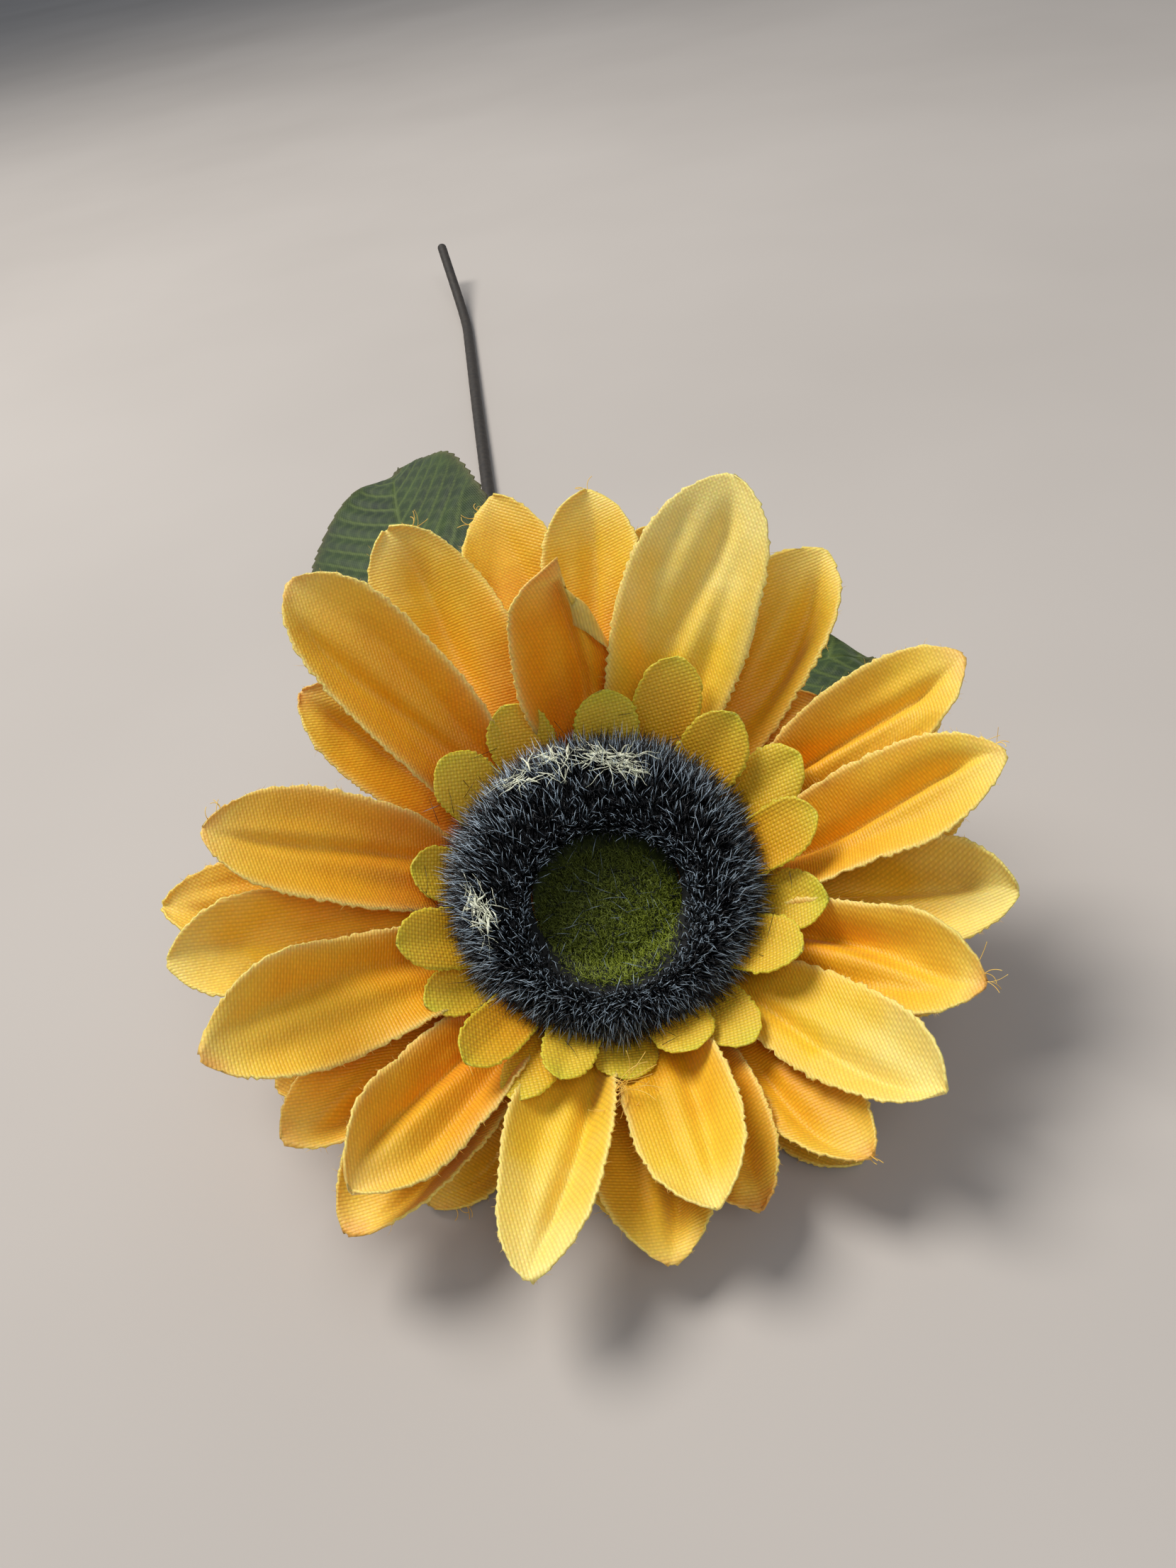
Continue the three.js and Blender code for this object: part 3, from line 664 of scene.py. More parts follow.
def pressed(strength, start):
    """Relief of a big petal: a boat with a ridge between grooves, a winding valley, waved edges
    and a twist. Every petal draws its own, from `start` of its length outwards."""
    boat = rng.uniform(0.12, 0.42)
    ridge, groove = rng.uniform(0.02, 0.14) * strength, rng.uniform(0.02, 0.14) * strength
    places, widths = rng.uniform(0.3, 0.55, 2), rng.uniform(0.14, 0.26, 2)
    valley, valley_at = rng.uniform(0.15, 0.5) * strength, rng.uniform(-0.35, 0.35)
    winding, turn, width = rng.uniform(0.1, 0.4), rng.random() * 6.28, rng.uniform(0.2, 0.38)
    twist, curl = rng.normal(0, 0.15), rng.normal(0, 0.07)
    wave, phase, count = rng.uniform(0.5, 1.5), rng.random(2) * 6.28, rng.uniform(1.0, 2.2)
    reach = rng.uniform(0.82, 0.97, 2)

    def relief(t, u, half):
        body = ease(start, start + 0.35, t)
        made = boat * u**2 * body
        made = made + ridge * np.exp(-((u / 0.22) ** 2)) * body * (1 - ease(0.75, 0.97, t))
        for sign, place, spread, far in zip((1, -1), places, widths, reach):
            line = np.exp(-(((u - sign * place) / spread) ** 2))
            made = made - groove * line * body * (1 - ease(far - 0.15, far, t))
        bed = u - valley_at - winding * np.sin(3.4 * t + turn)
        slope = np.where(bed > 0, width, width * 0.6)
        made = made - valley * np.exp(-((bed / slope) ** 2)) * body * (1 - ease(0.8, 1.0, t))
        made = made * half
        made = made + twist * half * u * ease(start + 0.15, 0.95, t)
        for sign, shift in zip((1, -1), phase):
            edge = np.clip(sign * u, 0, 1) ** 3
            made = made + wave * edge * body * np.sin(2 * math.pi * count * t + shift)
        return made + curl * 60 * np.clip(t - 0.75, 0, 1) ** 2

    return relief


class Ceiling:
    """The lowest height of the cloth already in place, over the head, in small squares."""

    CELL, HALF = 1.0, 95

    def __init__(self):
        self.height = np.full((2 * self.HALF, 2 * self.HALF), np.inf)

    def squares(self, points):
        return tuple((np.floor(points[..., k] / self.CELL) + self.HALF).astype(int) for k in (0, 1))

    def add(self, points):
        outer = points[points.shape[0] // 5 :]
        np.minimum.at(self.height, self.squares(outer), outer[..., 2])

    def under(self, points, gap):
        """The same sheet pressed down where it would come through the cloth above."""
        push = np.maximum(points[..., 2] + gap - self.height[self.squares(points)], 0)
        for _ in range(3):
            wide = np.pad(push, 1, mode="edge")
            beside = wide[:-2, 1:-1], wide[2:, 1:-1], wide[1:-1, :-2], wide[1:-1, 2:]
            push = np.maximum.reduce([push, *beside])
        for _ in range(5):
            wide = np.pad(push, 1, mode="edge")
            beside = wide[:-2, 1:-1], wide[2:, 1:-1], wide[1:-1, :-2], wide[1:-1, 2:]
            push = (push * 2 + sum(beside)) / 6
        made = points.copy()
        made[..., 2] -= push
        return made


above = Ceiling()


def turned_by(degrees):
    a = math.radians(degrees)
    return np.array([[math.cos(a), math.sin(a)], [-math.sin(a), math.cos(a)]])


def hub_disc(shell, z, radius):
    rings, segments = 6, 64
    r = np.linspace(AXLE_R, radius, rings + 1)[:, None]
    a = np.linspace(0, 2 * math.pi, segments + 1)[None, :]
    points = np.stack([r * np.cos(a), r * np.sin(a), np.full((rings + 1, segments + 1), z)], -1)
    fields = dict(along=0.0, rim=0.0, tone=0.0)
    shell.add(on_head(points), [grid_faces(rings, segments)], points[..., :2], **fields)
    return math.pi * (radius**2 - AXLE_R**2)


def petal_layer(name, cad, layer, finish, strength, start, grain):
    shell = Shell()
    area = hub_disc(shell, layer["hub"] - 0.25, HUB_R)
    placed = []
    for azimuth, length, width, extra_lift, extra_bend, sway, pale in layer["petals"]:
        lift = layer["lift"] + extra_lift - layer["droop"] * math.sin(math.radians(azimuth))
        shape = (layer["hub"], layer["root"], azimuth, length, width, lift, PETAL_BEND + extra_bend, sway)
        slant = layer["slanted"].get(azimuth, 0)
        blunt = 4.0 if slant else 1.75
        relief = pressed(strength, start)
        points, cut, along, rim, flat = petal(shape, relief, blunt=blunt, slant=slant)
        points = above.under(points, 0.7)
        above.add(points)
        placed.append(points)
        # The petal's tone: partly its own, partly painted light and shade from its row's how pale.
        tone = pale + rng.normal(0, 0.2)
        rows, columns = points.shape[0] - 1, points.shape[1] - 1
        world = on_head(points)
        world[..., 2] = np.maximum(world[..., 2], CLOTH_THICKNESS / 2 * MM)
        fields = dict(along=along, rim=rim, tone=tone)
        shell.add(world, [grid_faces(rows, columns)], cut @ turned_by(grain), **fields)
        area += flat
    made = shell.build(name, "head", finish, "petal_cloth", [cad])
    thicken(made, CLOTH_THICKNESS)
    return placed


edges = []
for setup in (
    ("petals_front", "petal_layer_front", FRONT_PETALS, FRONT_CLOTH, 1.0, 0.08, 82),
    ("petals_middle", "petal_layer_middle", MIDDLE_PETALS, MIDDLE_CLOTH, 1.0, 0.3, -6),
    ("petals_back", "petal_layer_back", BACK_PETALS, BACK_CLOTH, 0.7, 0.4, 35),
):
    edges += petal_layer(*setup)


def fray(name, petals, per_petal):
    """Loose fibres along the cut edges."""
    shell = Shell()
    for points in petals:
        rows = points.shape[0]
        i = rng.integers(rows // 4, rows - 1, per_petal)
        j = rng.choice([0, points.shape[1] - 1], per_petal)
        inner = np.where(j == 0, 2, points.shape[1] - 3)
        out = unit(points[i, j] - points[i, inner])
        forward = unit(points[i, j] - points[i - 1, j])
        heading = out + forward * rng.normal(0.3, 0.7, (per_petal, 1)) + rng.normal(0, 0.3, (per_petal, 3))
        lengths = rng.gamma(2.0, 0.3, per_petal)
        droop = rng.uniform(0, 0.5, per_petal)
        made = hairs(points[i, j] - out * 0.2, heading, lengths, 0.035, droop, rng.random(per_petal))
        shell.add(on_head(made[0]), made[1], along=made[2], tone=made[3])
    return shell.build(name, "head", YELLOW_FIBRE, "petal_cloth")


fray("petal_fibres", edges, 140)


def loose_threads():
    """Threads that have come out of the cloth: they start at a petal's edge and curl away."""
    # Petal, share of its length, side, turn from straight out, length, number.
    starts = (
        (8, 0.42, 1, 50, 7, 7), (8, 0.36, 1, -30, 6, 5), (9, 0.5, -1, 40, 5, 5),
        (11, 0.98, 1, 0, 2.4, 6), (14, 0.98, 0, 30, 2.6, 5), (15, 0.95, -1, 0, 2.4, 4),
        (27, 0.95, 1, 10, 2.4, 5), (5, 0.98, -1, 0, 2, 4), (31, 0.95, 1, 0, 2, 4),
        (22, 0.97, 0, 0, 2, 4), (0, 0.98, 1, 0, 2, 4), (7, 0.25, -1, 80, 13, 1),
        (0, 0.3, -1, 60, 12, 1),
    )
    shell = Shell()
    for petal_number, share, side, turn_out, length, count in starts:
        points = edges[petal_number]
        rows, columns = points.shape[0] - 1, points.shape[1] - 1
        for _ in range(count):
            i = min(rows, round(rows * share) + int(rng.integers(-2, 3)))
            j = round(columns * (side + 1) / 2)
            out = points[i, j] - points[i - 4, columns // 2]
            course = math.atan2(out[1], out[0]) + math.radians(turn_out) + rng.normal(0, 0.35)
            steep, lift = rng.normal(0.3, 0.2), rng.normal(0, 0.05)
            turn = rng.normal(0, 0.09)
            path = [points[i, j]]
            for _ in range(14):
                way = np.array([math.cos(course), math.sin(course), steep])
                path.append(path[-1] + way * length * rng.uniform(0.9, 1.1) / 14)
                course, steep = course + turn, steep + lift
            world = on_head(path)
            world[:, 2] = np.maximum(world[:, 2], 0.1 * MM)
            shell.add(*tube(world, rng.uniform(0.04, 0.07) * MM, 5))
    shell.build("loose_threads", "head", YELLOW_FIBRE, "petal_cloth")


loose_threads()

# Azimuth, length, width.
SHORT_OUTER = dict(
    hub=-4.6,
    root=19.5,
    lift=42,
    petals=[
        (19, 26, 11.5), (59, 28, 12), (109, 22, 12), (165, 18, 10.5), (207, 22, 9.5),
        (240, 27, 9), (266, 19, 10.5), (299, 23.5, 10.5), (340, 24, 11),
    ],
)
SHORT_INNER = dict(
    hub=-3.3,
    root=18.5,
    lift=46,
    petals=[
        (1, 26, 11), (38, 24, 12), (78, 21, 11.5), (134, 22.5, 12), (191, 24.5, 11),
        (227, 28, 9), (249, 23, 9.5), (286, 20.5, 10.5), (324, 24, 11),
    ],
)
SHORT_BEND = -10


def domed():
    """Relief of a short petal: a soft channel, and edges that roll."""
    channel, roll, twist = rng.uniform(-0.12, 0.04), rng.uniform(-0.16, 0.06), rng.normal(0, 0.12)

    def relief(t, u, half):
        shape = channel * np.exp(-((u / 0.4) ** 2)) + roll * u**4 + twist * u * t
        return half * shape * ease(0.05, 0.5, t)

    return relief


def short_layer(name, cad, layer):
    shell = Shell()
    area = hub_disc(shell, layer["hub"] - 0.25, layer["root"] + 0.3)
    for azimuth, length, width in layer["petals"]:
        lift = layer["lift"] + rng.uniform(-1.5, 1.5)
        shape = (layer["hub"], layer["root"], azimuth, length, width, lift, SHORT_BEND, 0)
        points, cut, along, rim, flat = petal(shape, domed(), 56, 20, 2.0)
        tone = rng.normal(0, 0.5)
        shell.add(on_head(points), [grid_faces(56, 20)], cut, along=along, rim=rim, tone=tone)
        area += flat
    made = shell.build(name, "head", SHORT_CLOTH, "short_petal_cloth", [cad])
    thicken(made, 0.3)


short_layer("short_petals_out", "short_petals_outer", SHORT_OUTER)
short_layer("short_petals_in", "short_petals_inner", SHORT_INNER)


# ---- Sepals
def sepals():
    hub, root, length, width, count, turn = -10.2, 20, 15, 10, 10, 18
    shell = Shell()
    area = hub_disc(shell, hub - 0.2, HUB_R)
    shell.parts[0][3]["vein"] = np.zeros(len(shell.parts[0][0]))
    for k in range(count):
        shape = (hub, root, turn + 360 * k / count, length, width, 8, -6, 0)
        points, cut, along, rim, flat = petal(shape, lambda t, u, half: 0 * t * u, 32, 16)
        middle = np.exp(-((np.linspace(-1, 1, 17) / 0.08) ** 2))[None, :] + 0 * along
        fields = dict(along=along, rim=rim, tone=0.0, vein=middle)
        shell.add(on_head(points), [grid_faces(32, 16)], cut, **fields)
        area += flat
    made = shell.build("sepals", "head", SEPAL_CLOTH, "leaf_cloth", ["sepal_layer"])
    thicken(made, 0.35)


sepals()

# ---- Fur ring and flocked middle
FUR_PROFILE = [
    (13.1, -2.4), (17.6, -2.4), (21.4, 1.5), (23.2, 4.6), (22.4, 7.4),
    (19.2, 9.0), (15.8, 7.6), (13.5, 4.5), (13.1, 1.5),
]
FUR_CORE = (18.4, 3.6)
HOLLOW_SHIFT = 5.0


def off_centre(points):
    """Moves the hollow down the face, above the button, as the CAD ring has it."""
    inner = np.clip((22.8 - np.hypot(points[:, 0], points[:, 1])) / 8, 0, 1)
    above = np.clip((points[:, 2] - 1.5) / 3, 0, 1)
    moved = points.copy()
    moved[:, 1] -= HOLLOW_SHIFT * inner * above
    return moved


def fur_ring():
    shell = Shell()
    points, faces = turned(FUR_PROFILE, 96)
    shell.add(on_head(off_centre(points)), faces)
    made = shell.build("fur_backing", "head", FUR_BACKING, "fur", ["fur_ring"])
    smooth = made.modifiers.new("round", "SUBSURF")
    smooth.levels = smooth.render_levels = 1


GREEN_CENTRE, GREEN_R = (0.0, -5.4), 12.6


def fur(name, count, low, high, length):
    """Bristles from the ring's surface, between two directions in degrees above its outside."""
    around = rng.uniform(0, 2 * math.pi, count)
    lean = np.radians(low + (high - low) * rng.random(count))
    root_r = FUR_CORE[0] + 4.2 * np.cos(lean)
    root_z = FUR_CORE[1] + 4.8 * np.sin(lean)
    keep = rng.random(count) < root_r / root_r.max()
    around, lean, root_r, root_z = (x[keep] for x in (around, lean, root_r, root_z))
    spin = np.stack([np.cos(around), np.sin(around), 0 * around], -1)
    up = np.array([0, 0, 1.0])
    roots = off_centre(spin * root_r[:, None] + up * root_z[:, None])
    # Bristles round the hollow stand up at the top of the face, and fall outwards at the bottom.
    bottom = 0.5 - 0.5 * np.sin(around)
    steepest = np.radians(112 - 42 * bottom)
    inward = np.maximum(lean - math.radians(60), 0)
    aim = np.where(lean > math.radians(60), np.minimum(lean, math.radians(60) + inward * 0.5), lean)
    aim = np.minimum(aim, steepest)
    heading = spin * np.cos(aim)[:, None] + up * np.sin(aim)[:, None]
    across = np.stack([-np.sin(around), np.cos(around), 0 * around], -1)
    clump = 0.08 * np.sin(around * 17 + lean * 9) + 0.06 * np.sin(around * 41 - lean * 5)
    heading = unit(heading + across * clump[:, None] + rng.normal(0, 0.27, (len(lean), 3)))
    lengths = length * rng.uniform(0.68, 1.1, len(lean))
    inside = ease(math.radians(70), math.radians(130), lean)
    lengths = lengths * (1 - inside * (0.15 + 0.3 * bottom))
    edge = GREEN_R + rng.normal(-0.2, 0.7, len(roots))
    green = np.hypot(roots[:, 0] - GREEN_CENTRE[0], roots[:, 1] - GREEN_CENTRE[1]) < edge
    roots, heading, lengths = roots[~green], heading[~green], lengths[~green]
    tones, bends = rng.random(len(roots)), rng.uniform(0, 0.16, len(roots))
    hair_piece(name, FUR, "fur", roots, heading, lengths, 0.1, bends, tones)


fur_ring()
fur("fur_outside", 11500, -50, 60, 7.0)
fur("fur_inside", 10500, 40, 200, 6.4)


BUTTON_R, BUTTON_FOOT = 12.9, -1.9


def crown(r):
    """Height of the button's domed top."""
    return np.interp(r, [0, 9, BUTTON_R], [1.1, 0.5, -0.6])


def green_height(x, y):
    """Height of the green surface: the button, then up the ring's inner wall at the bottom."""
    r = np.hypot(x, y)
    return np.where(r > 13.0, np.interp(r, [13.0, 18.8], [-0.4, 5.4]), crown(r))


def button():
    shell = Shell()
    r = np.linspace(0, BUTTON_R, 15)[1:]
    middle = 0.02
    foot = (BUTTON_R, BUTTON_FOOT), (middle, BUTTON_FOOT)
    profile = [*zip(r, crown(r)), *foot, (middle, crown(0))]
    points, faces = turned(profile[::-1], 64)
    shell.add(on_head(points), faces)
    shell.build("flock_base", "head", FLOCK_BASE, "flock", ["flock_button"])
    count = 12000
    reach = GREEN_R * np.sqrt(rng.random(count)) + rng.normal(0, 0.5, count)
    around = rng.uniform(0, 2 * math.pi, count)
    x = GREEN_CENTRE[0] + reach * np.cos(around)
    y = GREEN_CENTRE[1] + reach * np.sin(around)
    roots = np.stack([x, y, green_height(x, y) - 0.3], -1)
    heading = np.array([0, 0.1, 1.0]) + rng.normal(0, 0.6, (count, 3))
    lengths = rng.uniform(1.0, 2.9, count)
    bends, tones = rng.uniform(0, 0.5, count), rng.random(count)
    # Painted shadow: towards the upper left, where the ring's shadow falls, the fibres stop short of their
    # bright tip colour.
    ends = 0.45 + 0.55 * ease(-15, 15, x - 1.2 * (y - GREEN_CENTRE[1]))
    hair_piece("flock_fibres", FLOCK, "flock", roots, heading, lengths, 0.075, bends, tones, ends)
    # Dark bristles shed from the ring lie across the green, and a few over the short petals.
    count, outside = 330, 40
    around, reach = rng.uniform(0, 2 * math.pi, count), 12.5 * np.sqrt(rng.random(count))
    reach[-outside:] = rng.uniform(26, 31, outside)
    x, y = GREEN_CENTRE[0] + reach * np.cos(around), GREEN_CENTRE[1] + reach * np.sin(around)
    y[-outside:] -= GREEN_CENTRE[1]
    roots = np.stack([x, y, green_height(x, y) + 0.9], -1)
    roots[-outside:, 2] = 9.5
    heading = rng.normal(0, 1, (count, 3)) * [1, 1, 0.22]
    lengths = rng.uniform(2.5, 6.5, count)
    tones = rng.random(count)
    bends = rng.uniform(0, 0.2, count)
    hair_piece("shed_bristles", FUR, "fur", roots, heading, lengths, 0.06, bends, tones)


button()


def strand_on_fur(start, direction, steps, step, size):
    """A wandering line over the top of the bristles, in the head's frame."""
    points = [np.array(start, float)]
    for _ in range(steps):
        direction += rng.normal(0, 0.16)
        place = points[-1] + step * np.array([math.cos(direction), math.sin(direction), 0])
        inside = np.clip((math.hypot(place[0], place[1]) - 18.5) / 9.5, -1, 1)
        place[2] = 12.2 - 5.2 * inside**2 + rng.normal(0, 0.2)
        points.append(place)
    taper = np.sin(np.linspace(0.25, math.pi - 0.05, len(points)))
    radii = np.maximum(size * taper * rng.uniform(0.6, 1.5, len(points)), 0.03) * MM
    return points, tube(on_head(points), radii, 6)


def glue_web():
    """Cream threads of dried glue caught in the fur, at the top and on the left."""
    shell = Shell()
    # Azimuth, distance from the middle, the way most threads lie, reach, number of threads.
    nests = (
        (112, 21.5, 15, 3.6, 22), (97, 20.5, 100, 3.4, 20), (74, 19.5, 335, 3.6, 44),
        (60, 19.0, 300, 2.6, 10), (184, 21.5, 105, 3.4, 26), (196, 21.0, 80, 2.8, 10),
    )
    for azimuth, reach, lie, spread, count in nests:
        for _ in range(count):
            a = math.radians(azimuth) + rng.normal(0, 0.11)
            r = reach + rng.normal(0, 1.0)
            start = [r * math.cos(a), r * math.sin(a), 12.0]
            heading = math.radians(lie) + math.pi * rng.integers(0, 2) + rng.normal(0, 0.5)
            size = rng.choice([0.055, 0.1, 0.24], p=[0.56, 0.3, 0.14])
            steps = int(rng.uniform(4, 9))
            points, thread = strand_on_fur(start, heading, steps, spread / 5, size)
            shell.add(*thread)
            if size > 0.07:
                turn = heading + rng.choice([-1, 1]) * rng.uniform(0.5, 1.2)
                shell.add(*strand_on_fur(points[steps // 2], turn, steps, spread / 7, size * 0.6)[1])
    shell.build("glue_web", "head", GLUE, "fur")


glue_web()


# ---- Stem, leaves
def behind_head(depth):
    return np.array([0, math.sin(HEAD_LEAN) * depth, HEAD_HEIGHT - math.cos(HEAD_LEAN) * depth])


STEM_ROUTE = [
    behind_head(13.6), behind_head(15.5), behind_head(17.4),
    (0, 11.6, 6.1), (-0.2, 16, 3.9), (-0.6, 22, 3.5), (-1.2, 30, 3.6), (-3, 47, 3.6),
    (-5, 66, 3.6), (-7, 85, 3.6), (-9, 104, 3.6), (-11, 123, 3.5), (-12, 142, 2.9),
    (-12.5, 170, 2.2), (-12.6, 209, 2.1), (-12.4, 300, 2.1), (-12.1, 355, 2.1),
    (-12.1, 378, 2.3), (-12.8, 394, 3.9), (-17.6, 454, 16.8),
]


def stem():
    path = smooth_path(STEM_ROUTE, 900)
    run = np.concatenate([[0], np.cumsum(np.linalg.norm(np.diff(path, axis=0), axis=1))])
    path, run = path[run < run[-1] - 0.4], run[run < run[-1] - 0.4]
    points, faces = tube(path, 2.03, 20)
    # Florist's tape: each turn's edge stands a little proud of the last.
    angle = np.tile(np.arange(20) / 20, len(path))
    turn = (np.repeat(run, 20) / 9.0 + angle) % 1
    lump = np.repeat(np.convolve(rng.normal(0, 0.12, len(path) + 24), np.ones(25) / 9, "valid"), 20)
    swell = 1 + 0.035 * turn + 0.04 * lump
    centre = np.repeat(path, 20, axis=0)
    points[:-2] = centre + (points[:-2] - centre) * swell[:, None]
    points[:, 2] = np.maximum(points[:, 2], -0.01)
    shell = Shell().add(on_table(points), faces)
    shell.build("stem_tape", "stem", STEM_TAPE, "stem_plastic", ["stem_sleeve"])


stem()

LEAVES = dict(
    left=dict(
        collar=LEFT_COLLAR, azimuth=134, elbow=(44, 3, 9), tip=(103, -56, 11),
        width=58, right_fold=38, left_fold=-3, veins=11,
    ),
    right=dict(
        collar=RIGHT_COLLAR, azimuth=11, elbow=(40, 3, 3), tip=(80, 0, 0),
        width=46, right_fold=6, left_fold=8, veins=9,
    ),
)
LEAF_STALK = 0.17
BLADE_LIFT = 1.6


def leaf_line(leaf, count=400):
    """The midline, evenly sampled, and its running length."""
    t = np.linspace(0, 1, count)[:, None]
    elbow, tip = np.array(leaf["elbow"], float), np.array(leaf["tip"], float)
    points = 2 * t * (1 - t) * elbow + t * t * tip
    run = np.concatenate([[0], np.cumsum(np.linalg.norm(np.diff(points, axis=0), axis=1))])
    return points, run


def leaf_at(leaf, shares):
    points, run = leaf_line(leaf)
    return np.stack([np.interp(shares * run[-1], run, points[:, k]) for k in range(3)], -1)


def leaf_place(leaf, points):
    a = math.radians(leaf["azimuth"])
    turn = np.array([[math.cos(a), math.sin(a), 0], [-math.sin(a), math.cos(a), 0], [0, 0, 1]])
    return on_table(leaf["collar"] + points @ turn)


def leaf_blade(side, leaf):
    rows, columns = 150, 64
    s = np.linspace(0, 1, rows + 1)[:, None]
    u = np.linspace(-1, 1, columns + 1)[None, :]
    share = LEAF_STALK + (1 - LEAF_STALK) * s[:, 0]
    middle = leaf_at(leaf, share)
    along = unit(np.gradient(middle, axis=0))
    sideways = unit(np.cross([0, 0, 1.0], along))
    length = leaf_line(leaf)[1][-1] * (1 - LEAF_STALK)
    half = np.maximum(1.2, leaf["width"] / 2 * np.sin(math.pi * s**0.8) ** 0.85)
    teeth = (s * 22 - 0.2 * np.abs(u)) % 1
    half = half * (1 - 0.03 * teeth * ease(0.08, 0.2, s) * np.abs(u) ** 3)
    half = half + 0 * u
    fold = np.radians(np.where(u < 0, leaf["right_fold"], leaf["left_fold"])) * np.minimum(1, 2.5 * s)
    reach = np.abs(u) * half
    # Side veins run outwards and on towards the tip, with a ladder of fine ones between.
    out = reach / (leaf["width"] / 2)
    phase = leaf["veins"] * (s - 0.24 * out**1.2) % 1
    vein = np.exp(-(((phase - 0.5) / 0.075) ** 2)) * (1 - np.abs(u) ** 6)
    rungs = out * 9 + 0.35 * np.sin(2 * math.pi * phase)
    ladder = np.exp(-((((rungs + s * 3) % 1 - 0.5) / 0.16) ** 2)) * 0.4
    midrib = np.exp(-((u / 0.035) ** 2)) + 0 * s
    pucker = 0.85 * np.sin(math.pi * phase) ** 2 * np.sin(math.pi * np.abs(u))
    wave = 1.1 * np.abs(u) ** 3 * np.sin(2 * math.pi * (2.4 * s + 0.3 * np.sign(u)))
    curl = -3.0 * ease(0.84, 1.0, s)
    height = 0.3 * vein - 0.4 * midrib - pucker + (wave + curl) * ease(0.1, 0.5, s)
    place = (
        middle[:, None, :]
        + sideways[:, None, :] * (np.sign(u) * reach * np.cos(fold))[..., None]
        + np.array([0, 0, 1.0]) * (BLADE_LIFT + reach * np.sin(fold) + height)[..., None]
    )
    world = leaf_place(leaf, place.reshape(-1, 3))
    cut = np.stack([s * length + 0 * u, u * half], -1)
    rim = np.maximum(np.abs(u) + 0 * s, s + 0 * u)
    strength = np.clip(vein + ladder + midrib, 0, 1)
    shell = Shell().add(world, [grid_faces(rows, columns)], cut, along=s + 0 * u, rim=rim, vein=strength)
    body, cad = "leaf_" + side, "leaf_blade_" + side
    made = shell.build("leaf_cloth_" + side, body, LEAF_CLOTH, "leaf_cloth", [cad])
    thicken(made, 0.4)


def leaf_rib(side, leaf):
    run = leaf_line(leaf)[1][-1]
    path = leaf_at(leaf, np.linspace(8.2 / run, 0.88, 60))
    points, faces = tube(path, np.linspace(0.85, 0.4, 60), 12)
    shell = Shell().add(leaf_place(leaf, points), faces)
    shell.build("leaf_midrib_" + side, "leaf_" + side, GREEN_PLASTIC, "green_plastic", ["leaf_rib_" + side])


for side, leaf in LEAVES.items():
    leaf_rib(side, leaf)
    leaf_blade(side, leaf)


# ---- Back of the head
FELT_Z, FELT_R, FELT_SHIFT, FELT_HOLE = (-12.1, -11.0), 26.0, 6.0, 10.5
CLIP_Y, CLIP_WIDTH, CLIP_BASE_Z, CLIP_STEEL_T = 18.5, 9.0, -12.9, 0.8


def felt():
    """A felt disc with a hole for the calyx, its edge a little ragged."""
    rings, segments = 14, 160
    a = np.linspace(0, 2 * math.pi, segments, endpoint=False)[None, :]
    share = np.linspace(0, 1, rings + 1)[:, None]
    ragged = rng.normal(0, 0.12, segments)[None, :]
    inner = np.stack([FELT_HOLE * np.cos(a), FELT_HOLE * np.sin(a)], -1)
    outer = np.stack([FELT_R * np.cos(a), FELT_R * np.sin(a) + FELT_SHIFT], -1)
    outer = outer + ragged[..., None] * np.stack([np.cos(a), np.sin(a)], -1)
    flat = inner * (1 - share[..., None]) + outer * share[..., None]
    z = np.full(flat.shape[:2], sum(FELT_Z) / 2) + rng.normal(0, 0.03, flat.shape[:2])
    points = np.concatenate([flat, z[..., None]], -1)
    faces = grid_faces(rings, segments)
    closed = faces // (segments + 1) * segments + faces % (segments + 1) % segments
    shell = Shell().add(on_head(points), [closed], flat)
    made = shell.build("felt_disc", "head", FELT, "felt", ["felt_pad"])
    thicken(made, FELT_Z[1] - FELT_Z[0] - 0.1)


felt()


def calyx():
    """The moulded cup: the socket for the stem inside, a ribbed cone outside."""
    profile = [
        (2.5, -11.05), (2.62, -16.6), (2.9, -16.9), (4.1, -16.9), (4.5, -16.7), (5.4, -15.7),
        (6.6, -14.5), (8.2, -13.2), (9.6, -12.3), (9.95, -12.0), (9.95, -11.2), (9.8, -11.05),
    ]
    points, faces = turned(profile, 90, 0.012, 10)
    shell = Shell().add(on_head(points), faces)
    shell.build("calyx_moulding", "head", GREEN_PLASTIC, "green_plastic", ["calyx_cup"])


calyx()


def stitches():
    """Thread that sews the clip's base plate to the felt: crossed loops at both ends."""
    shell = Shell()
    low, high = CLIP_Y - CLIP_WIDTH / 2, CLIP_Y + CLIP_WIDTH / 2
    face = CLIP_BASE_Z - CLIP_STEEL_T / 2
    for x in (-19.0, -16.8, -14.6):
        for lean in (-0.8, 0.8):
            ends = [(x - lean, low - 1.2, -12.0), (x + lean, high + 1.2, -12.0)]
            route = [
                ends[0],
                (x - lean * 0.8, low - 0.35, face - 0.1),
                (x, CLIP_Y, face - 0.22),
                (x + lean * 0.8, high + 0.35, face - 0.1),
                ends[1],
            ]
            shell.add(*tube(on_head(smooth_path(route, 40)), 0.17 * MM, 8))
    shell.build("clip_stitches", "head", THREAD, "felt")


stitches()


PIN_X, PIN_Z, CLIP_HEEL_X = -8.0, -17.2, -22.0


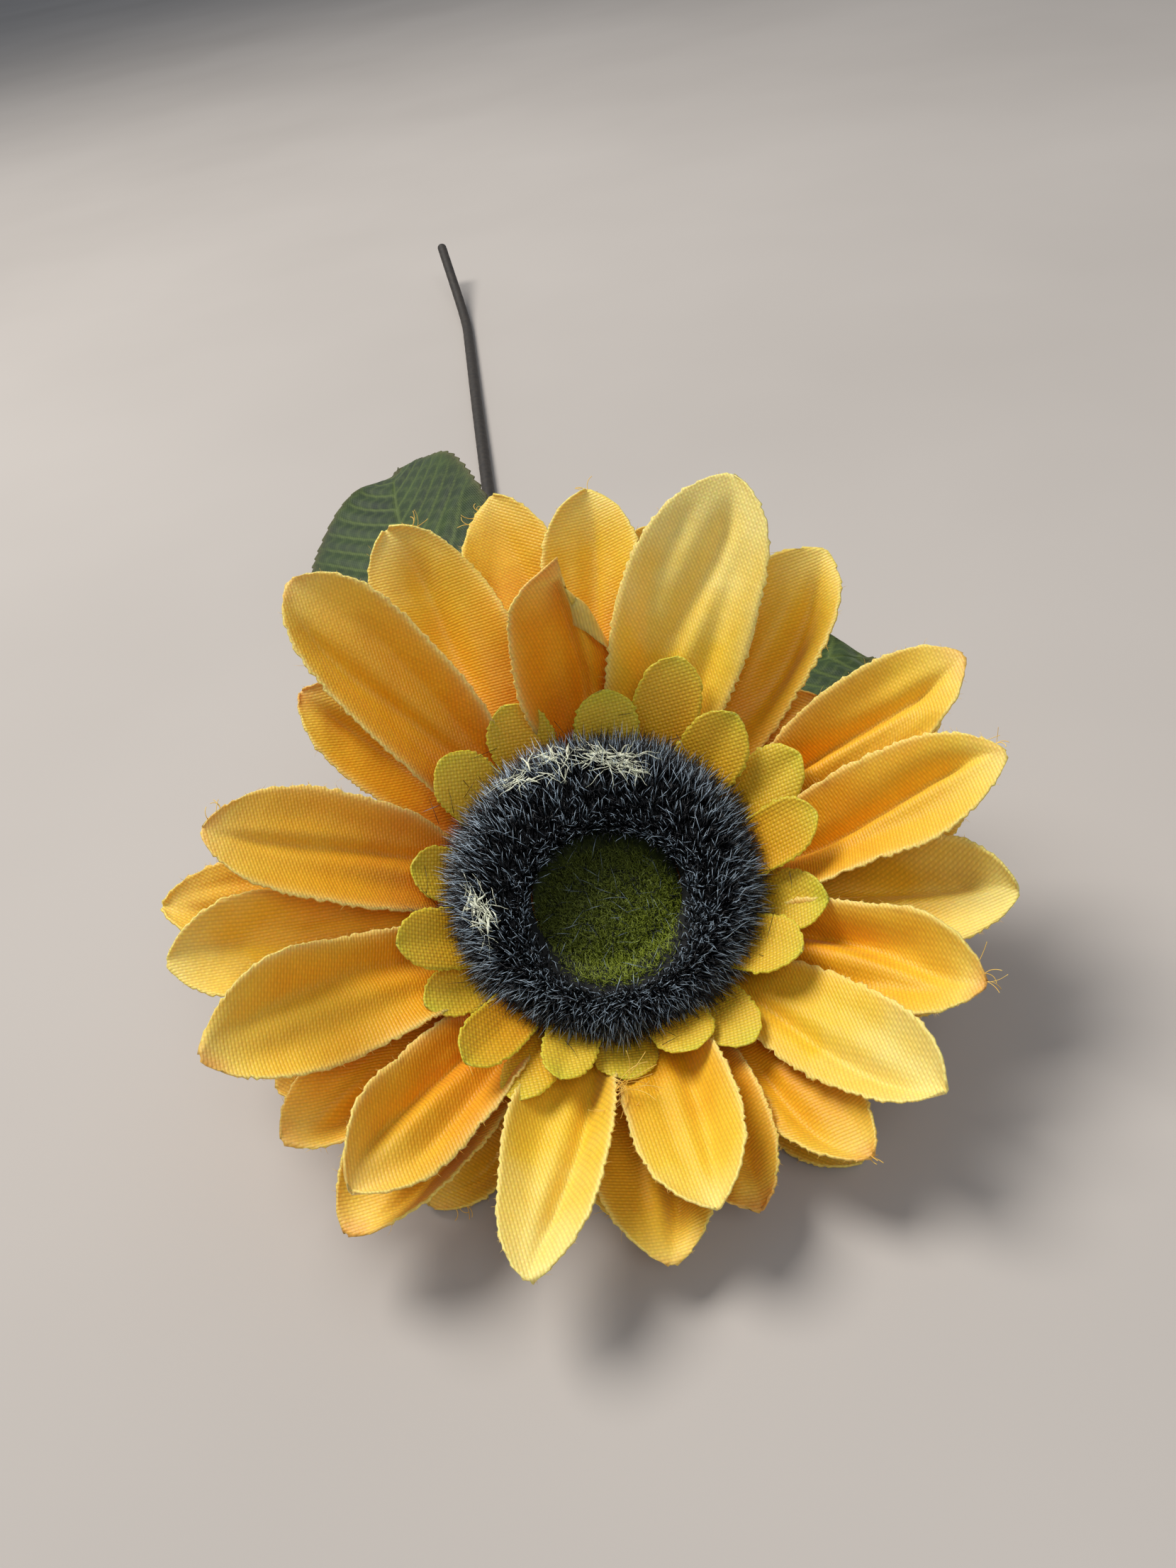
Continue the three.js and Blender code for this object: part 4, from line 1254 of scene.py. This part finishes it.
def spring():
    """Torsion spring on the pin: one leg lies on the base plate, the other reaches to the lever."""
    coil, turns, half, wire = 1.55, 3.5, 1.7, 0.3
    a = math.pi / 2 - 2 * math.pi * turns * np.linspace(0, 1, 85)
    y = CLIP_Y + np.linspace(-half, half, 85)
    route = [
        (PIN_X - 8.5, CLIP_Y - half - 0.2, CLIP_BASE_Z - 1.1),
        *np.stack([PIN_X + coil * np.cos(a), y, PIN_Z + coil * np.sin(a)], -1),
        (PIN_X - 7.5, CLIP_Y + half + 0.2, PIN_Z - 3.5),
    ]
    shell = Shell().add(*tube(on_head(smooth_path(route, 520)), wire * MM, 12))
    made = shell.build("spring_wire", None, SPRING_STEEL, "spring_steel", ["clip_spring"])
    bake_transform(made)


spring()


def lever_ribs():
    """Pressed ribs across the thumb tab."""
    shell = Shell()
    tab = np.array([[PIN_X - 5, PIN_Z - 4], [CLIP_HEEL_X, PIN_Z - 7.4]])
    normal = np.array([-0.236, -0.972])
    for share in (0.35, 0.5, 0.65, 0.8):
        x, z = tab[0] * (1 - share) + tab[1] * share + normal * 0.42 * np.array([-1, 1])
        path = np.linspace((x, CLIP_Y - 2.4, z), (x, CLIP_Y + 2.4, z), 12)
        radii = 0.28 * np.sqrt(np.sin(np.linspace(0.15, math.pi - 0.15, 12))) * MM
        shell.add(*tube(on_head(path), radii, 10))
    shell.build("lever_ribs", "clip_lever", CLIP_STEEL, "clip_steel")


lever_ribs()


# ---- CAD nodes that stay, with their own finishes
KEPT = dict(
    head_pin=(GREEN_PLASTIC, 0.15),
    clip_base=(CLIP_STEEL, 0.12),
    clip_lever=(CLIP_STEEL, 0.12),
    clip_pin=(CLIP_STEEL, 0.1),
    clip_grip_strip=(GRIP_RUBBER, 0.15),
    stem_wire=(WIRE_STEEL, 0.0),
    leaf_collar_left=(GREEN_PLASTIC, 0.2),
    leaf_collar_right=(GREEN_PLASTIC, 0.2),
)
for name, (finish, round_edge) in KEPT.items():
    node = frame["nodes"][name]
    node.data.materials.clear()
    node.data.materials.append(finish)
    if round_edge:
        bevel = node.modifiers.new("rounded_edges", "BEVEL")
        bevel.width = round_edge * MM
        bevel.segments = 2
        bevel.limit_method = "ANGLE"
        bevel.angle_limit = math.radians(35)

# ---- Floor, light
floor_mesh = bpy.data.meshes.new("floor")
FLOOR_HALF = 12.0
floor_mesh.from_pydata(
    [(x * FLOOR_HALF, y * FLOOR_HALF, 0) for x, y in ((-1, -1), (1, -1), (1, 1), (-1, 1))],
    [],
    [(0, 1, 2, 3)],
)
floor = bpy.data.objects.new("floor", floor_mesh)
bpy.context.scene.collection.objects.link(floor)
floor_mesh.materials.append(
    plain_finish("pale_floor", (0.68, 0.65, 0.62), (0.72, 0.69, 0.66), 3, 0.0, Roughness=0.8)
)

world = bpy.data.worlds.new("studio")
world.use_nodes = True
world.node_tree.nodes["Background"].inputs[0].default_value = linear(0.86, 0.9, 0.96)
world.node_tree.nodes["Background"].inputs[1].default_value = 0.3
bpy.context.scene.world = world
bpy.context.scene.view_settings.view_transform = "Standard"


def light(name, place, size, power, colour):
    data = bpy.data.lights.new(name, "AREA")
    data.shape = "DISK"
    data.size = size
    data.energy = power
    data.color = colour
    made = bpy.data.objects.new(name, data)
    bpy.context.scene.collection.objects.link(made)
    made.location = place
    aim = Vector(HEAD_CENTRE) - Vector(place)
    made.rotation_euler = aim.to_track_quat("-Z", "Y").to_euler()


light("window", (-0.6, 0.35, 1.4), 0.85, 27, (1.0, 0.98, 0.95))
light("fill", (0.3, -1.3, 1.5), 1.0, 8, (0.95, 0.97, 1.0))
